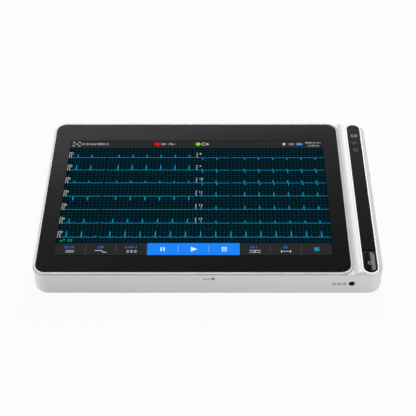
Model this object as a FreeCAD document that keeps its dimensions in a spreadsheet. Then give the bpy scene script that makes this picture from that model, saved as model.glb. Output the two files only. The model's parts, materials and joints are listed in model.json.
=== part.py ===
import FreeCAD
import Part
import Sketcher

import math
import os
import re

# Tablet electrocardiograph, lying on its feet: X to the right, Y to the back, Z up.
# The origin is under the middle of the case, on the surface that the feet stand on.

# Driving sizes in millimetres. Each one is written once, here.
SIZES = {
    # moulded case
    "case_length": 269.0,
    "case_depth": 178.0,
    "case_height": 22.5,
    "case_corner": 11.0,
    "crest_round": 2.8,
    "bottom_round": 2.0,
    "wall": 2.2,
    "deck_drop": 1.2,
    "deck_thickness": 2.0,
    "foot_height": 1.5,
    # underside
    "cover_inset": 6.5,
    "cover_thickness": 2.0,
    "cover_corner": 5.0,
    "cover_gap": 0.15,
    "shelf_width": 7.8,
    "shelf_thickness": 1.5,
    "foot_radius": 7.0,
    "foot_recess": 0.8,
    "foot_gap": 0.1,
    "foot_inset_x": 26.5,
    "foot_inset_y": 25.0,
    "foot_chamfer": 0.5,
    # cover glass and its ring
    "glass_margin_side": 2.2,
    "glass_margin_end": 2.3,
    "glass_thickness": 1.5,
    "glass_corner": 8.0,
    "glass_gap": 0.2,
    "glass_edge": 0.3,
    "tape_thickness": 0.2,
    "tape_inset": 0.5,
    "bezel_width": 1.4,
    "bezel_round": 0.4,
    "bezel_seam": 0.35,
    "reveal_height": 0.5,
    "reveal_depth": 0.9,
    # display panel and the sheet that carries it
    "lcd_border_left": 7.2,
    "lcd_border_right": 5.8,
    "lcd_border_front": 8.4,
    "lcd_border_back": 16.0,
    "lcd_thickness": 2.8,
    "lcd_corner": 1.0,
    "lcd_gap": 0.3,
    "chassis_thickness": 0.8,
    "chassis_front": 1.2,
    "chassis_rear": 2.3,
    "chassis_corner": 2.0,
    "chassis_boss": 2.4,
    "chassis_boss_reach": 3.2,
    "chassis_boss_end": 14.5,
    "flex_thickness": 0.15,
    "lcd_flex_inset": 10.0,
    "lcd_flex_width": 20.0,
    "lcd_flex_drop": 2.5,
    "lcd_flex_bow": 3.6,
    "lcd_flex_tail": 5.0,
    # raised spine with the black strip
    "strip_inset": 9.7,
    "strip_front_margin": 2.0,
    "strip_back_margin": 3.0,
    "strip_width": 10.8,
    "strip_gap": 0.15,
    "trim_width": 1.3,
    "trim_gap": 0.1,
    "trim_round": 0.35,
    "flank_width": 6.3,
    "lens_thickness": 1.2,
    "lens_tape_inset": 0.4,
    "light_pitch": 9.1,
    "light_end": 14.3,
    "guide_radius": 1.0,
    "guide_gap": 0.1,
    "led_width": 1.6,
    "led_height": 0.7,
    "led_air": 0.2,
    "led_board_thickness": 1.0,
    "led_board_width": 11.0,
    "led_board_margin": 7.4,
    "led_post": 2.0,
    "led_post_offset": 3.4,
    "led_post_step": 4.6,
    "led_flex_width": 5.0,
    "led_flex_inset": 29.0,
    # power key
    "key_length": 23.1,
    "key_gap": 0.3,
    "key_travel": 0.5,
    "key_stop": 0.1,
    "key_flange_step": 0.6,
    "key_flange_thickness": 0.6,
    "key_flange_clear": 0.2,
    "key_sink": 0.6,
    "pillow_width": 8.0,
    "pillow_length": 19.5,
    "pillow_crown": 0.5,
    "stem_radius": 2.2,
    "running_gap": 0.05,
    "switch_width": 6.0,
    "switch_height": 2.0,
    "switch_floor": 0.2,
    "plunger_radius": 1.5,
    "plunger_proud": 0.8,
    "plunger_depth": 1.2,
    # main board
    "board_length": 161.0,
    "board_depth": 66.5,
    "board_wall_gap": 1.3,
    "board_front_gap": 2.3,
    "board_thickness": 1.2,
    "board_notch_x": 12.0,
    "board_notch_y": 5.3,
    "standoff_height": 1.1,
    "standoff_radius": 2.5,
    "standoff_inset_left": 6.0,
    "standoff_inset_right": 31.0,
    "standoff_inset_front": 12.5,
    "standoff_inset_back": 6.0,
    "cpu_shield_inset": 48.0,
    "cpu_shield_setback": 18.5,
    "cpu_shield_length": 44.0,
    "cpu_shield_depth": 36.0,
    "cpu_shield_height": 2.5,
    "wifi_inset": 12.0,
    "wifi_setback": 22.5,
    "wifi_length": 20.0,
    "wifi_depth": 18.0,
    "wifi_height": 2.2,
    "can_wall": 0.3,
    "antenna_inset": 44.5,
    "antenna_length": 40.0,
    "antenna_height": 8.0,
    "antenna_rise": 7.5,
    "antenna_thickness": 0.3,
    "antenna_lead_radius": 0.6,
    "antenna_lead_bend": 12.0,
    # reset button behind its pinhole
    "reset_inset": 34.05,
    "reset_rise": 17.2,
    "reset_hole": 0.75,
    "reset_plunger_radius": 0.6,
    "reset_plunger_length": 3.7,
    "reset_wall_gap": 0.3,
    "reset_switch_width": 4.6,
    "reset_switch_depth": 2.8,
    "reset_switch_setback": 0.1,
    "reset_bore_depth": 2.2,
    # supply inlet
    "dc_inset": 24.1,
    "dc_rise": 11.7,
    "dc_hole": 2.5,
    "dc_bore": 2.95,
    "dc_bore_depth": 10.0,
    "dc_pin_radius": 0.85,
    "dc_pin_setback": 1.5,
    "dc_body_width": 9.0,
    "dc_body_length": 14.0,
    "dc_body_below": 3.8,
    "dc_wall_gap": 0.1,
    # data port in the right wall
    "usb_setback_front": 49.0,
    "usb_width": 14.3,
    "usb_height": 6.6,
    "usb_length": 14.0,
    "usb_setback": 1.0,
    "usb_wall": 0.4,
    "usb_gap": 0.15,
    "usb_tongue_height": 1.8,
    "usb_tongue_width": 11.2,
    "usb_tongue_length": 8.6,
    "usb_tongue_rise": 3.1,
    # patient cable socket in the right wall
    "socket_inset": 60.0,
    "socket_rise": 11.3,
    "socket_flange_radius": 6.5,
    "socket_flange": 0.9,
    "socket_round": 0.5,
    "socket_shank_radius": 5.9,
    "socket_shank_length": 14.5,
    "socket_bore": 5.2,
    "socket_bore_depth": 5.0,
    "socket_core": 4.6,
    "contact_radius": 0.4,
    "contact_ring": 3.1,
    "nut_radius": 7.2,
    "nut_thickness": 2.4,
    "nut_slot": 2.0,
    "ecg_board_setback": 18.3,
    "ecg_board_thickness": 1.6,
    "ecg_board_front_gap": 6.0,
    "ecg_board_back_gap": 2.0,
    "ecg_board_below": 6.3,
    "ecg_board_above": 5.6,
    "ecg_shield_margin": 6.0,
    "ecg_shield_rim": 1.4,
    "ecg_shield_depth": 2.4,
    # battery and loudspeaker on the cover
    "battery_inset_left": 22.5,
    "battery_inset_front": 31.0,
    "battery_board_gap": 10.0,
    "battery_speaker_gap": 10.0,
    "battery_thickness": 8.5,
    "battery_corner": 4.0,
    "battery_edge": 1.5,
    "pad_thickness": 0.4,
    "pad_inset": 4.0,
    "lead_radius": 1.1,
    "lead_bend": 2.4,
    "lead_from_front": 8.0,
    "plug_gap": 3.0,
    "plug_width": 6.0,
    "plug_height": 3.6,
    "speaker_inset_left": 40.5,
    "speaker_inset_back": 19.0,
    "speaker_length": 36.0,
    "speaker_depth": 20.0,
    "speaker_thickness": 5.0,
    "speaker_corner": 6.0,
    "gasket_thickness": 0.5,
    "gasket_width": 2.0,
    "slot_width": 1.6,
    "slot_margin": 3.5,
    "slot_pitch": 4.4,
    "speaker_lead_radius": 0.8,
    "speaker_lead_bend": 8.0,
    "speaker_lead_inset": 10.0,
    "speaker_lead_setback": 6.0,
    # screws
    "screw_inset": 10.8,
    "screw_head": 2.5,
    "screw_head_height": 1.0,
    "screw_shank": 1.15,
    "screw_length": 6.8,
    "screw_sink": 1.2,
    "screw_gap": 0.2,
    "thread_gap": 0.05,
    "boss_radius": 3.0,
    "boss_height": 6.0,
    "small_head": 1.9,
    "small_head_height": 0.7,
    "small_shank": 0.8,
    "small_length": 2.4,
    # spare length on cutting tools, so that no cut ends level with a face
    "over": 2.0,
}

# Places worked out from the sizes, each one an expression of the sheet's names.
PLACES = {
    "base_z": "foot_height",
    "crest_z": "foot_height + case_height",
    "deck_z": "crest_z - deck_drop",
    "glass_z": "crest_z - glass_thickness",
    "ledge_z": "glass_z - tape_thickness",
    "deck_under_z": "ledge_z - deck_thickness",
    "lcd_z": "ledge_z - lcd_thickness",
    "chassis_z": "lcd_z - chassis_thickness",
    "board_top_z": "chassis_z - standoff_height",
    "board_z": "board_top_z - board_thickness",
    "cover_top_z": "base_z + cover_thickness",
    "shelf_z": "cover_top_z + shelf_thickness",
    "right_x": "case_length / 2",
    "left_x": "-case_length / 2",
    "back_y": "case_depth / 2",
    "front_y": "-case_depth / 2",
    "foot_x": "right_x - foot_inset_x",
    "foot_y": "back_y - foot_inset_y",
    "strip_x": "right_x - strip_inset",
    "strip_front": "front_y + strip_front_margin",
    "strip_back": "back_y - strip_back_margin",
    "strip_radius": "strip_width / 2",
    "strip_round_front": "strip_front + strip_radius",
    "strip_round_back": "strip_back - strip_radius",
    "strip_run": "strip_round_back - strip_round_front",
    "trim_inner": "strip_radius + strip_gap",
    "trim_outer": "trim_inner + trim_width",
    "flank_right": "strip_x - trim_outer",
    "flank_left": "flank_right - flank_width",
    "flank_radius": "(flank_width ^ 2 + deck_drop ^ 2) / (2 * deck_drop)",
    "glass_left": "left_x + glass_margin_side",
    "glass_right": "flank_left - bezel_seam - bezel_width - glass_gap",
    "glass_back": "back_y - glass_margin_end",
    "glass_front": "front_y + glass_margin_end",
    "lcd_left": "glass_left + lcd_border_left",
    "lcd_right": "glass_right - lcd_border_right",
    "lcd_back": "glass_back - lcd_border_back",
    "lcd_front": "glass_front + lcd_border_front",
    "chassis_boss_left": "lcd_left - chassis_boss_reach",
    "chassis_boss_right": "lcd_right + chassis_boss_reach",
    "chassis_boss_front": "lcd_front + chassis_boss_end",
    "chassis_boss_back": "lcd_back - chassis_boss_end",
    "lens_z": "crest_z - lens_thickness",
    "strip_floor_z": "lens_z - tape_thickness",
    "key_back": "strip_front + key_length",
    "key_radius": "trim_inner - key_gap",
    "key_flange_radius": "key_radius + key_flange_step",
    "key_flange_top": "deck_z - key_flange_clear",
    "key_flange_z": "key_flange_top - key_flange_thickness",
    "key_floor_z": "key_flange_z - key_travel - key_stop",
    "key_top_z": "crest_z - key_sink",
    "key_y": "strip_front + key_length / 2",
    "pillow_radius": "pillow_width / 2",
    "pillow_front": "key_y - pillow_length / 2 + pillow_radius",
    "pillow_run": "pillow_length - pillow_width",
    "crown_radius": "(pillow_radius ^ 2 + pillow_crown ^ 2) / (2 * pillow_crown)",
    "switch_top_z": "board_top_z + switch_height",
    "stem_z": "switch_top_z + plunger_proud",
    "board_right": "right_x - wall - board_wall_gap",
    "board_left": "board_right - board_length",
    "board_front": "front_y + wall + board_front_gap",
    "board_rear": "board_front + board_depth",
    "standoff_left": "board_left + standoff_inset_left",
    "standoff_right": "board_right - standoff_inset_right",
    "standoff_front": "board_front + standoff_inset_front",
    "standoff_back": "board_rear - standoff_inset_back",
    "cpu_shield_left": "board_left + cpu_shield_inset",
    "cpu_shield_front": "board_front + cpu_shield_setback",
    "wifi_left": "board_left + wifi_inset",
    "wifi_front": "board_front + wifi_setback",
    "lcd_flex_left": "board_left + lcd_flex_inset",
    "light_back_y": "strip_back - light_end",
    "led_board_front": "light_back_y - 2 * light_pitch - led_board_margin",
    "led_board_back": "light_back_y + led_board_margin",
    "led_board_z": "board_top_z + flex_thickness",
    "led_board_top": "led_board_z + led_board_thickness",
    "led_top": "led_board_top + led_height",
    "guide_z": "led_top + led_air",
    "led_post_x": "strip_x + led_post_offset",
    "led_post_front": "light_back_y - 2 * light_pitch + led_post_step",
    "led_post_back": "light_back_y + led_post_step",
    "led_flex_left": "right_x - led_flex_inset",
    "reset_x": "board_left + reset_inset",
    "reset_z": "base_z + reset_rise",
    "reset_tip_y": "front_y + wall + reset_wall_gap",
    "reset_switch_y": "board_front + reset_switch_setback",
    "dc_x": "right_x - dc_inset",
    "dc_z": "base_z + dc_rise",
    "dc_face_y": "front_y + wall + dc_wall_gap",
    "usb_y": "front_y + usb_setback_front",
    "usb_z": "board_z - usb_height",
    "usb_face_x": "right_x - usb_setback",
    "usb_back_x": "usb_face_x - usb_length",
    "socket_y": "back_y - socket_inset",
    "socket_z": "base_z + socket_rise",
    "socket_face_x": "right_x + socket_flange",
    "socket_step_x": "socket_face_x - socket_bore_depth",
    "socket_back_x": "right_x - socket_shank_length",
    "ecg_board_x": "right_x - ecg_board_setback",
    "ecg_board_left": "ecg_board_x - ecg_board_thickness",
    "ecg_board_front": "board_rear + ecg_board_front_gap",
    "ecg_board_rear": "led_board_front - ecg_board_back_gap",
    "speaker_left": "left_x + speaker_inset_left",
    "speaker_right": "speaker_left + speaker_length",
    "speaker_back": "back_y - speaker_inset_back",
    "speaker_front": "speaker_back - speaker_depth",
    "speaker_x": "speaker_left + speaker_length / 2",
    "speaker_y": "speaker_front + speaker_depth / 2",
    "speaker_z": "cover_top_z + gasket_thickness",
    "slot_run": "speaker_depth - 2 * slot_margin - slot_width",
    "speaker_lead_x": "board_left + speaker_lead_inset",
    "battery_left": "left_x + battery_inset_left",
    "battery_right": "board_left - battery_board_gap",
    "battery_front": "front_y + battery_inset_front",
    "battery_back": "speaker_front - battery_speaker_gap",
    "battery_z": "cover_top_z + pad_thickness",
    "lead_y": "battery_front + lead_from_front",
    "lead_z": "battery_z + battery_thickness / 2",
    "plug_left": "board_left + plug_gap",
    "plug_z": "board_z - plug_height",
    "screw_x": "right_x - screw_inset",
    "screw_y": "back_y - screw_inset",
    "screw_seat_z": "base_z + screw_sink",
    "antenna_left": "left_x + antenna_inset",
    "antenna_y": "back_y - wall - antenna_thickness",
    "antenna_z": "base_z + antenna_rise",
}

doc = FreeCAD.newDocument("Electrocardiograph")
sheet = doc.addObject("Spreadsheet::Sheet", "Sizes")
for row, (alias, size) in enumerate(SIZES.items(), start=1):
    sheet.set(f"A{row}", alias)
    sheet.set(f"B{row}", str(size))
    sheet.setAlias(f"B{row}", alias)
doc.recompute()

nodes = []

# How near to a level an edge has to be to count as lying in it, in millimetres.
LEVEL_TOLERANCE = 1e-5


# Expressions and placing

def expand(text):
    """Write an expression of plain names as one that reads the sheet."""

    def swap(match):
        word = match.group(0)
        if word in PLACES:
            return "(" + expand(PLACES[word]) + ")"
        if word in SIZES:
            return "Sizes." + word
        return word

    return re.sub(r"[a-z][a-z_]*", swap, text)


def number(text):
    """The value of an expression, for choosing edges and laying paths."""
    return float(sheet.evalExpression(expand(text)))


def bind(solid, prop, text):
    solid.setExpression(prop, expand(text))


def place(solid, x, y, z):
    bind(solid, "Placement.Base.x", x)
    bind(solid, "Placement.Base.y", y)
    bind(solid, "Placement.Base.z", z)


def node(label, solid):
    """Give a finished sub-part its own name and put it on the list to write."""
    solid.Label = label
    nodes.append(solid)
    return solid


# Plain solids

TURNS = {
    "x": FreeCAD.Rotation(FreeCAD.Vector(0, 1, 0), 90),
    "y": FreeCAD.Rotation(FreeCAD.Vector(1, 0, 0), -90),
    "z": FreeCAD.Rotation(),
}


def block(label, x, y, z):
    """A box between pairs of low and high places."""
    solid = doc.addObject("Part::Box", label)
    for prop, (low, high) in zip(("Length", "Width", "Height"), (x, y, z)):
        bind(solid, prop, f"{high} - ({low})")
    place(solid, x[0], y[0], z[0])
    return solid


def rod(label, radius, start, length, along="z"):
    """A round bar that starts at a point and runs along an axis."""
    solid = doc.addObject("Part::Cylinder", label)
    bind(solid, "Radius", radius)
    bind(solid, "Height", length)
    solid.Placement.Rotation = TURNS[along]
    place(solid, *start)
    return solid


def fuse(label, solids):
    joined = doc.addObject("Part::MultiFuse", label)
    joined.Shapes = solids
    joined.Refine = True
    return joined


def cut(label, base, tools):
    result = doc.addObject("Part::Cut", label)
    result.Base = base
    result.Tool = tools[0] if len(tools) == 1 else fuse(label + "_tools", tools)
    result.Refine = True
    return result


def common(label, first, second):
    shared = doc.addObject("Part::Common", label)
    shared.Base = first
    shared.Tool = second
    return shared


def group(label, solids):
    """Several alike solids under one name."""
    bundle = doc.addObject("Part::Compound", label)
    bundle.Links = solids
    return bundle


# Sketched solids

def sketch_on_ground(body, label):
    sketch = body.newObject("Sketcher::SketchObject", label)
    ground = next(f for f in body.Origin.OriginFeatures if f.Role == "XY_Plane")
    sketch.AttachmentSupport = [(ground, "")]
    sketch.MapMode = "FlatFace"
    return sketch


def constrain(sketch, name, constraint, text):
    """Add a named measure to a sketch and bind it to the sheet."""
    index = sketch.addConstraint(constraint)
    sketch.renameConstraint(index, name)
    bind(sketch, "Constraints." + name, text)


def chain(sketch, kinds):
    """Join each curve's end to the next one's start."""
    last = len(kinds)
    for index, kind in enumerate(kinds):
        sketch.addConstraint(Sketcher.Constraint(kind, index, 2, (index + 1) % last, 1))


def segment(x1, y1, x2, y2):
    return Part.LineSegment(FreeCAD.Vector(x1, y1, 0), FreeCAD.Vector(x2, y2, 0))


def arc(y, radius, start, end):
    circle = Part.Circle(FreeCAD.Vector(0, y, 0), FreeCAD.Vector(0, 0, 1), radius)
    return Part.ArcOfCircle(circle, start, end)


def pad(body, sketch, label, height):
    feature = body.newObject("PartDesign::Pad", label)
    feature.Profile = sketch
    bind(feature, "Length", height)
    doc.recompute()
    return feature


def round_edges(body, feature, label, radius, wanted):
    """Fillet the edges of a body that a test picks."""
    names = [f"Edge{i}" for i, edge in enumerate(feature.Shape.Edges, start=1) if wanted(edge)]
    fillet = body.newObject("PartDesign::Fillet", label)
    fillet.Base = (feature, names)
    bind(fillet, "Radius", radius)
    doc.recompute()
    return fillet


def level_test(z):
    """A test that picks the edges lying in one level."""

    def wanted(edge):
        box = edge.BoundBox
        return abs(box.ZMin - z) < LEVEL_TOLERANCE and abs(box.ZMax - z) < LEVEL_TOLERANCE

    return wanted


def upright(edge):
    return edge.BoundBox.ZLength > LEVEL_TOLERANCE


def round_levels(body, feature, label, height, top, bottom):
    if top:
        feature = round_edges(body, feature, label + "_top", top, level_test(number(height)))
    if bottom:
        feature = round_edges(body, feature, label + "_bottom", bottom, level_test(0.0))
    return feature


def plate(label, x, y, z, corner, top=None, bottom=None):
    """A plate with rounded corners, and rounded top or bottom edges where asked."""
    body = doc.addObject("PartDesign::Body", label)
    sketch = sketch_on_ground(body, label + "_outline")
    length, depth, height = (f"{high} - ({low})" for low, high in (x, y, z))
    long_side, deep_side = number(length), number(depth)
    sketch.addGeometry(segment(0, 0, long_side, 0))
    sketch.addGeometry(segment(long_side, 0, long_side, deep_side))
    sketch.addGeometry(segment(long_side, deep_side, 0, deep_side))
    sketch.addGeometry(segment(0, deep_side, 0, 0))
    chain(sketch, ["Coincident"] * 4)
    for index, kind in enumerate(("Horizontal", "Vertical", "Horizontal", "Vertical")):
        sketch.addConstraint(Sketcher.Constraint(kind, index))
    sketch.addConstraint(Sketcher.Constraint("Coincident", 0, 1, -1, 1))
    constrain(sketch, "length", Sketcher.Constraint("DistanceX", 0, 1, 0, 2, long_side), length)
    constrain(sketch, "depth", Sketcher.Constraint("DistanceY", 1, 1, 1, 2, deep_side), depth)
    feature = pad(body, sketch, label + "_pad", height)
    feature = round_edges(body, feature, label + "_corners", corner, upright)
    round_levels(body, feature, label, height, top, bottom)
    place(body, x[0], y[0], z[0])
    return body


def pill(label, x, y, z, radius, run, top=None):
    """A slot shape along Y: two half rounds a run apart, the front one centred on x, y."""
    body = doc.addObject("PartDesign::Body", label)
    sketch = sketch_on_ground(body, label + "_outline")
    size, reach = number(radius), number(run)
    sketch.addGeometry(arc(0, size, math.pi, 2 * math.pi))
    sketch.addGeometry(segment(size, 0, size, reach))
    sketch.addGeometry(arc(reach, size, 0, math.pi))
    sketch.addGeometry(segment(-size, reach, -size, 0))
    chain(sketch, ["Tangent"] * 4)
    sketch.addConstraint(Sketcher.Constraint("Coincident", 0, 3, -1, 1))
    sketch.addConstraint(Sketcher.Constraint("Vertical", 1))
    constrain(sketch, "radius", Sketcher.Constraint("Radius", 0, size), radius)
    constrain(sketch, "run", Sketcher.Constraint("DistanceY", 0, 3, 2, 3, reach), run)
    height = f"{z[1]} - ({z[0]})"
    feature = pad(body, sketch, label + "_pad", height)
    round_levels(body, feature, label, height, top, None)
    place(body, x, y, z[0])
    return body


def tongue(label, x, y, z, radius, run, back_to_front=False):
    """A pill cut square at one end: the round end is centred on x, y."""
    body = doc.addObject("PartDesign::Body", label)
    sketch = sketch_on_ground(body, label + "_outline")
    size, reach = number(radius), number(run)
    sketch.addGeometry(arc(0, size, math.pi, 2 * math.pi))
    sketch.addGeometry(segment(size, 0, size, reach))
    sketch.addGeometry(segment(size, reach, -size, reach))
    sketch.addGeometry(segment(-size, reach, -size, 0))
    chain(sketch, ["Tangent", "Coincident", "Coincident", "Tangent"])
    sketch.addConstraint(Sketcher.Constraint("Coincident", 0, 3, -1, 1))
    sketch.addConstraint(Sketcher.Constraint("Vertical", 1))
    sketch.addConstraint(Sketcher.Constraint("Horizontal", 2))
    constrain(sketch, "radius", Sketcher.Constraint("Radius", 0, size), radius)
    constrain(sketch, "run", Sketcher.Constraint("DistanceY", 1, 1, 1, 2, reach), run)
    pad(body, sketch, label + "_pad", f"{z[1]} - ({z[0]})")
    if back_to_front:
        body.Placement.Rotation = FreeCAD.Rotation(FreeCAD.Vector(0, 0, 1), 180)
    place(body, x, y, z[0])
    return body


def wire_lead(label, points, radius, bend):
    """A round lead along straight runs joined by tangent arcs."""
    corners = [FreeCAD.Vector(*(number(text) for text in point)) for point in points]
    size, turn = number(radius), number(bend)
    edges = []
    start = corners[0]
    for before, corner, after in zip(corners, corners[1:], corners[2:]):
        into = (corner - before).normalize()
        out = (after - corner).normalize()
        reach = turn * math.tan(into.getAngle(out) / 2)
        first = corner - into * reach
        last = corner + out * reach
        middle = corner + (out - into).normalize() * (
            reach / math.sin(into.getAngle(out) / 2) - turn
        )
        edges.append(Part.LineSegment(start, first).toShape())
        edges.append(Part.Arc(first, middle, last).toShape())
        start = last
    edges.append(Part.LineSegment(start, corners[-1]).toShape())
    path = Part.Wire(edges)
    along = (corners[1] - corners[0]).normalize()
    section = Part.Wire([Part.makeCircle(size, corners[0], along)])
    solid = doc.addObject("Part::Feature", label)
    solid.Shape = path.makePipeShell([section], True, False)
    solid.Placement = FreeCAD.Placement()
    return solid


def screw(label, x, y, seat, kind, length):
    """A pan head under its seat, with a shank that goes up from it."""
    head = rod(label + "_head", kind + "_head", (x, y, f"{seat} - {kind}_head_height"),
               f"{kind}_head_height")
    shank = rod(label + "_shank", kind + "_shank", (x, y, seat), length)
    return fuse(label, [head, shank])


# Places of what repeats

case_screw_places = [(x, y) for x in ("-screw_x", "0", "screw_x") for y in ("-screw_y", "screw_y")]
chassis_screw_places = [
    (x, y)
    for x in ("chassis_boss_left", "chassis_boss_right")
    for y in ("chassis_boss_front", "chassis_boss_back")
]
standoff_places = [
    (x, y)
    for x in ("standoff_left", "standoff_right")
    for y in ("standoff_front", "standoff_back")
]
foot_places = [(x, y) for x in ("-foot_x", "foot_x") for y in ("-foot_y", "foot_y")]
light_places = [f"light_back_y - {step} * light_pitch" for step in range(3)]
led_post_places = ["led_post_front", "led_post_back"]
contact_count = 8
contact_angles = [360 / contact_count * step for step in range(contact_count)]


def contact_place(angle):
    return (f"socket_y + contact_ring * cos({angle} deg)",
            f"socket_z + contact_ring * sin({angle} deg)")


def inset_plate(label, inset, z, corner):
    """A plate that follows the case outline, drawn in on all sides."""
    return plate(
        label,
        (f"left_x + {inset}", f"right_x - ({inset})"),
        (f"front_y + {inset}", f"back_y - ({inset})"),
        z,
        corner,
    )


def around_glass(label, margin, z, top=None):
    """A plate that follows the glass outline, grown on all sides."""
    return plate(
        label,
        (f"glass_left - ({margin})", f"glass_right + {margin}"),
        (f"glass_front - ({margin})", f"glass_back + {margin}"),
        z,
        f"glass_corner + {margin}",
        top,
    )


def around_lcd(label, margin, z, corner):
    return plate(
        label,
        (f"lcd_left - ({margin})", f"lcd_right + {margin}"),
        (f"lcd_front - ({margin})", f"lcd_back + {margin}"),
        z,
        corner,
    )


# Main case: one moulding with the deck, the spine and its flank, open underneath

def make_main_case():
    outer = plate(
        "case_outer",
        ("left_x", "right_x"),
        ("front_y", "back_y"),
        ("base_z", "crest_z"),
        "case_corner",
        "crest_round",
        "bottom_round",
    )
    whole_depth = ("front_y - over", "back_y + over")
    above_deck = ("deck_z", "crest_z + over")
    low_deck = block("deck_cutter", ("left_x - over", "flank_left"), whole_depth, above_deck)
    flank_space = block("flank_space", ("flank_left - over", "flank_right"), whole_depth, above_deck)
    flank_roll = rod(
        "flank_roll",
        "flank_radius",
        ("flank_right", "front_y - 2 * over", "crest_z - flank_radius"),
        "case_depth + 4 * over",
        "y",
    )
    flank = cut("flank_cutter", flank_space, [flank_roll])
    hollow = inset_plate("case_hollow", "wall", ("shelf_z", "deck_under_z"), "case_corner - wall")
    mouth = inset_plate(
        "case_mouth", "cover_inset + shelf_width", ("cover_top_z - over", "shelf_z + over"), "cover_corner"
    )
    cover_seat = inset_plate(
        "cover_seat", "cover_inset", ("base_z - over", "cover_top_z"), "cover_corner"
    )
    glass_seat = around_glass("glass_seat", "glass_gap", ("ledge_z", "crest_z + over"))
    window = around_lcd("lcd_window", "lcd_gap", ("lcd_z - over", "crest_z + over"), "lcd_corner + lcd_gap")
    trim_seat = pill("trim_seat", "strip_x", "strip_round_front", above_deck,
                     "trim_outer + trim_gap", "strip_run")
    strip_seat = pill("strip_seat", "strip_x", "strip_round_front", ("strip_floor_z", "crest_z + over"),
                      "strip_radius", "strip_run")
    key_seat = tongue("key_seat", "strip_x", "strip_round_front", ("key_floor_z", "crest_z + over"),
                      "key_flange_radius + key_gap", "key_back - strip_round_front")
    stem_hole = rod("stem_hole", "stem_radius + running_gap",
                    ("strip_x", "key_y", "deck_under_z - over"), "deck_thickness + 2 * over")
    dc_hole = rod("dc_hole", "dc_hole", ("dc_x", "front_y - over", "dc_z"), "wall + 2 * over", "y")
    reset_hole = rod("reset_pinhole", "reset_hole", ("reset_x", "front_y - over", "reset_z"),
                     "wall + 2 * over", "y")
    usb_hole = plate(
        "usb_hole",
        ("right_x - wall - over", "right_x + over"),
        ("usb_y - usb_width / 2 - usb_gap", "usb_y + usb_width / 2 + usb_gap"),
        ("usb_z - usb_gap", "board_z + usb_gap"),
        "usb_gap",
    )
    socket_hole = rod("socket_hole", "socket_shank_radius + running_gap",
                      ("right_x - wall - over", "socket_y", "socket_z"), "wall + 2 * over", "x")
    cutters = [low_deck, flank, hollow, mouth, cover_seat, glass_seat, window, trim_seat, strip_seat,
               key_seat, stem_hole, dc_hole, reset_hole, usb_hole, socket_hole]
    for index, y in enumerate(light_places):
        cutters.append(rod(f"guide_hole_{index}", "guide_radius + guide_gap",
                           ("strip_x", y, "deck_under_z - over"), "deck_thickness + 2 * over"))
    shell = cut("case_shell", outer, cutters)

    bosses = [shell]
    threads = []
    for index, (x, y) in enumerate(case_screw_places):
        bosses.append(rod(f"case_boss_{index}", "boss_radius", (x, y, "cover_top_z"),
                          "shelf_thickness + boss_height"))
        threads.append(rod(f"case_thread_{index}", "screw_shank + thread_gap", (x, y, "base_z"),
                           "screw_sink + screw_length + screw_gap"))
    for index, (x, y) in enumerate(chassis_screw_places):
        bosses.append(rod(f"chassis_boss_{index}", "chassis_boss", (x, y, "lcd_z"),
                          "ledge_z - lcd_z - tape_thickness"))
        threads.append(rod(f"chassis_thread_{index}", "small_shank + thread_gap",
                           (x, y, "chassis_z"), "small_length + screw_gap"))
    for index, y in enumerate(led_post_places):
        bosses.append(rod(f"led_post_{index}", "led_post", ("led_post_x", y, "led_board_top"),
                          "deck_under_z + tape_thickness - led_board_top"))
        threads.append(rod(f"led_thread_{index}", "small_shank + thread_gap",
                           ("led_post_x", y, "led_board_z"), "small_length + screw_gap"))
    node("main_case", cut("main_case", fuse("case_with_bosses", bosses), threads))


# Underside

def make_back_cover():
    panel = inset_plate(
        "cover_panel", "cover_inset + cover_gap", ("base_z", "cover_top_z"), "cover_corner - cover_gap"
    )
    holes = []
    for index, (x, y) in enumerate(case_screw_places):
        holes.append(rod(f"cover_sink_{index}", "screw_head + screw_gap", (x, y, "base_z - over"),
                         "over + screw_sink"))
        holes.append(rod(f"cover_hole_{index}", "screw_shank + screw_gap", (x, y, "base_z - over"),
                         "cover_thickness + 2 * over"))
    for index, (x, y) in enumerate(foot_places):
        holes.append(rod(f"foot_seat_{index}", "foot_radius + foot_gap", (x, y, "base_z - over"),
                         "over + foot_recess"))
    for step in (-2, -1, 0, 1, 2):
        holes.append(pill(
            f"speaker_slot_{step + 2}",
            f"speaker_x + {step} * slot_pitch",
            "speaker_y - slot_run / 2",
            ("base_z - over", "cover_top_z + over"),
            "slot_width / 2",
            "slot_run",
        ))
    node("back_cover", cut("back_cover", panel, holes))


def make_feet():
    feet = []
    for index, (x, y) in enumerate(foot_places):
        disc = rod(f"foot_disc_{index}", "foot_radius", (x, y, "0"), "foot_height + foot_recess")
        doc.recompute()
        rim = doc.addObject("Part::Chamfer", f"foot_{index}")
        rim.Base = disc
        size = number("foot_chamfer")
        rim.Edges = [(i, size, size) for i, edge in enumerate(disc.Shape.Edges, start=1)
                     if edge.BoundBox.ZMax < LEVEL_TOLERANCE]
        feet.append(rim)
    node("rubber_feet", group("rubber_feet", feet))


def make_case_screws():
    screws = [screw(f"case_screw_{i}", x, y, "screw_seat_z", "screw", "screw_length - screw_sink")
              for i, (x, y) in enumerate(case_screw_places)]
    node("case_screws", group("case_screws", screws))


# Glass, ring, tape and display

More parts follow.
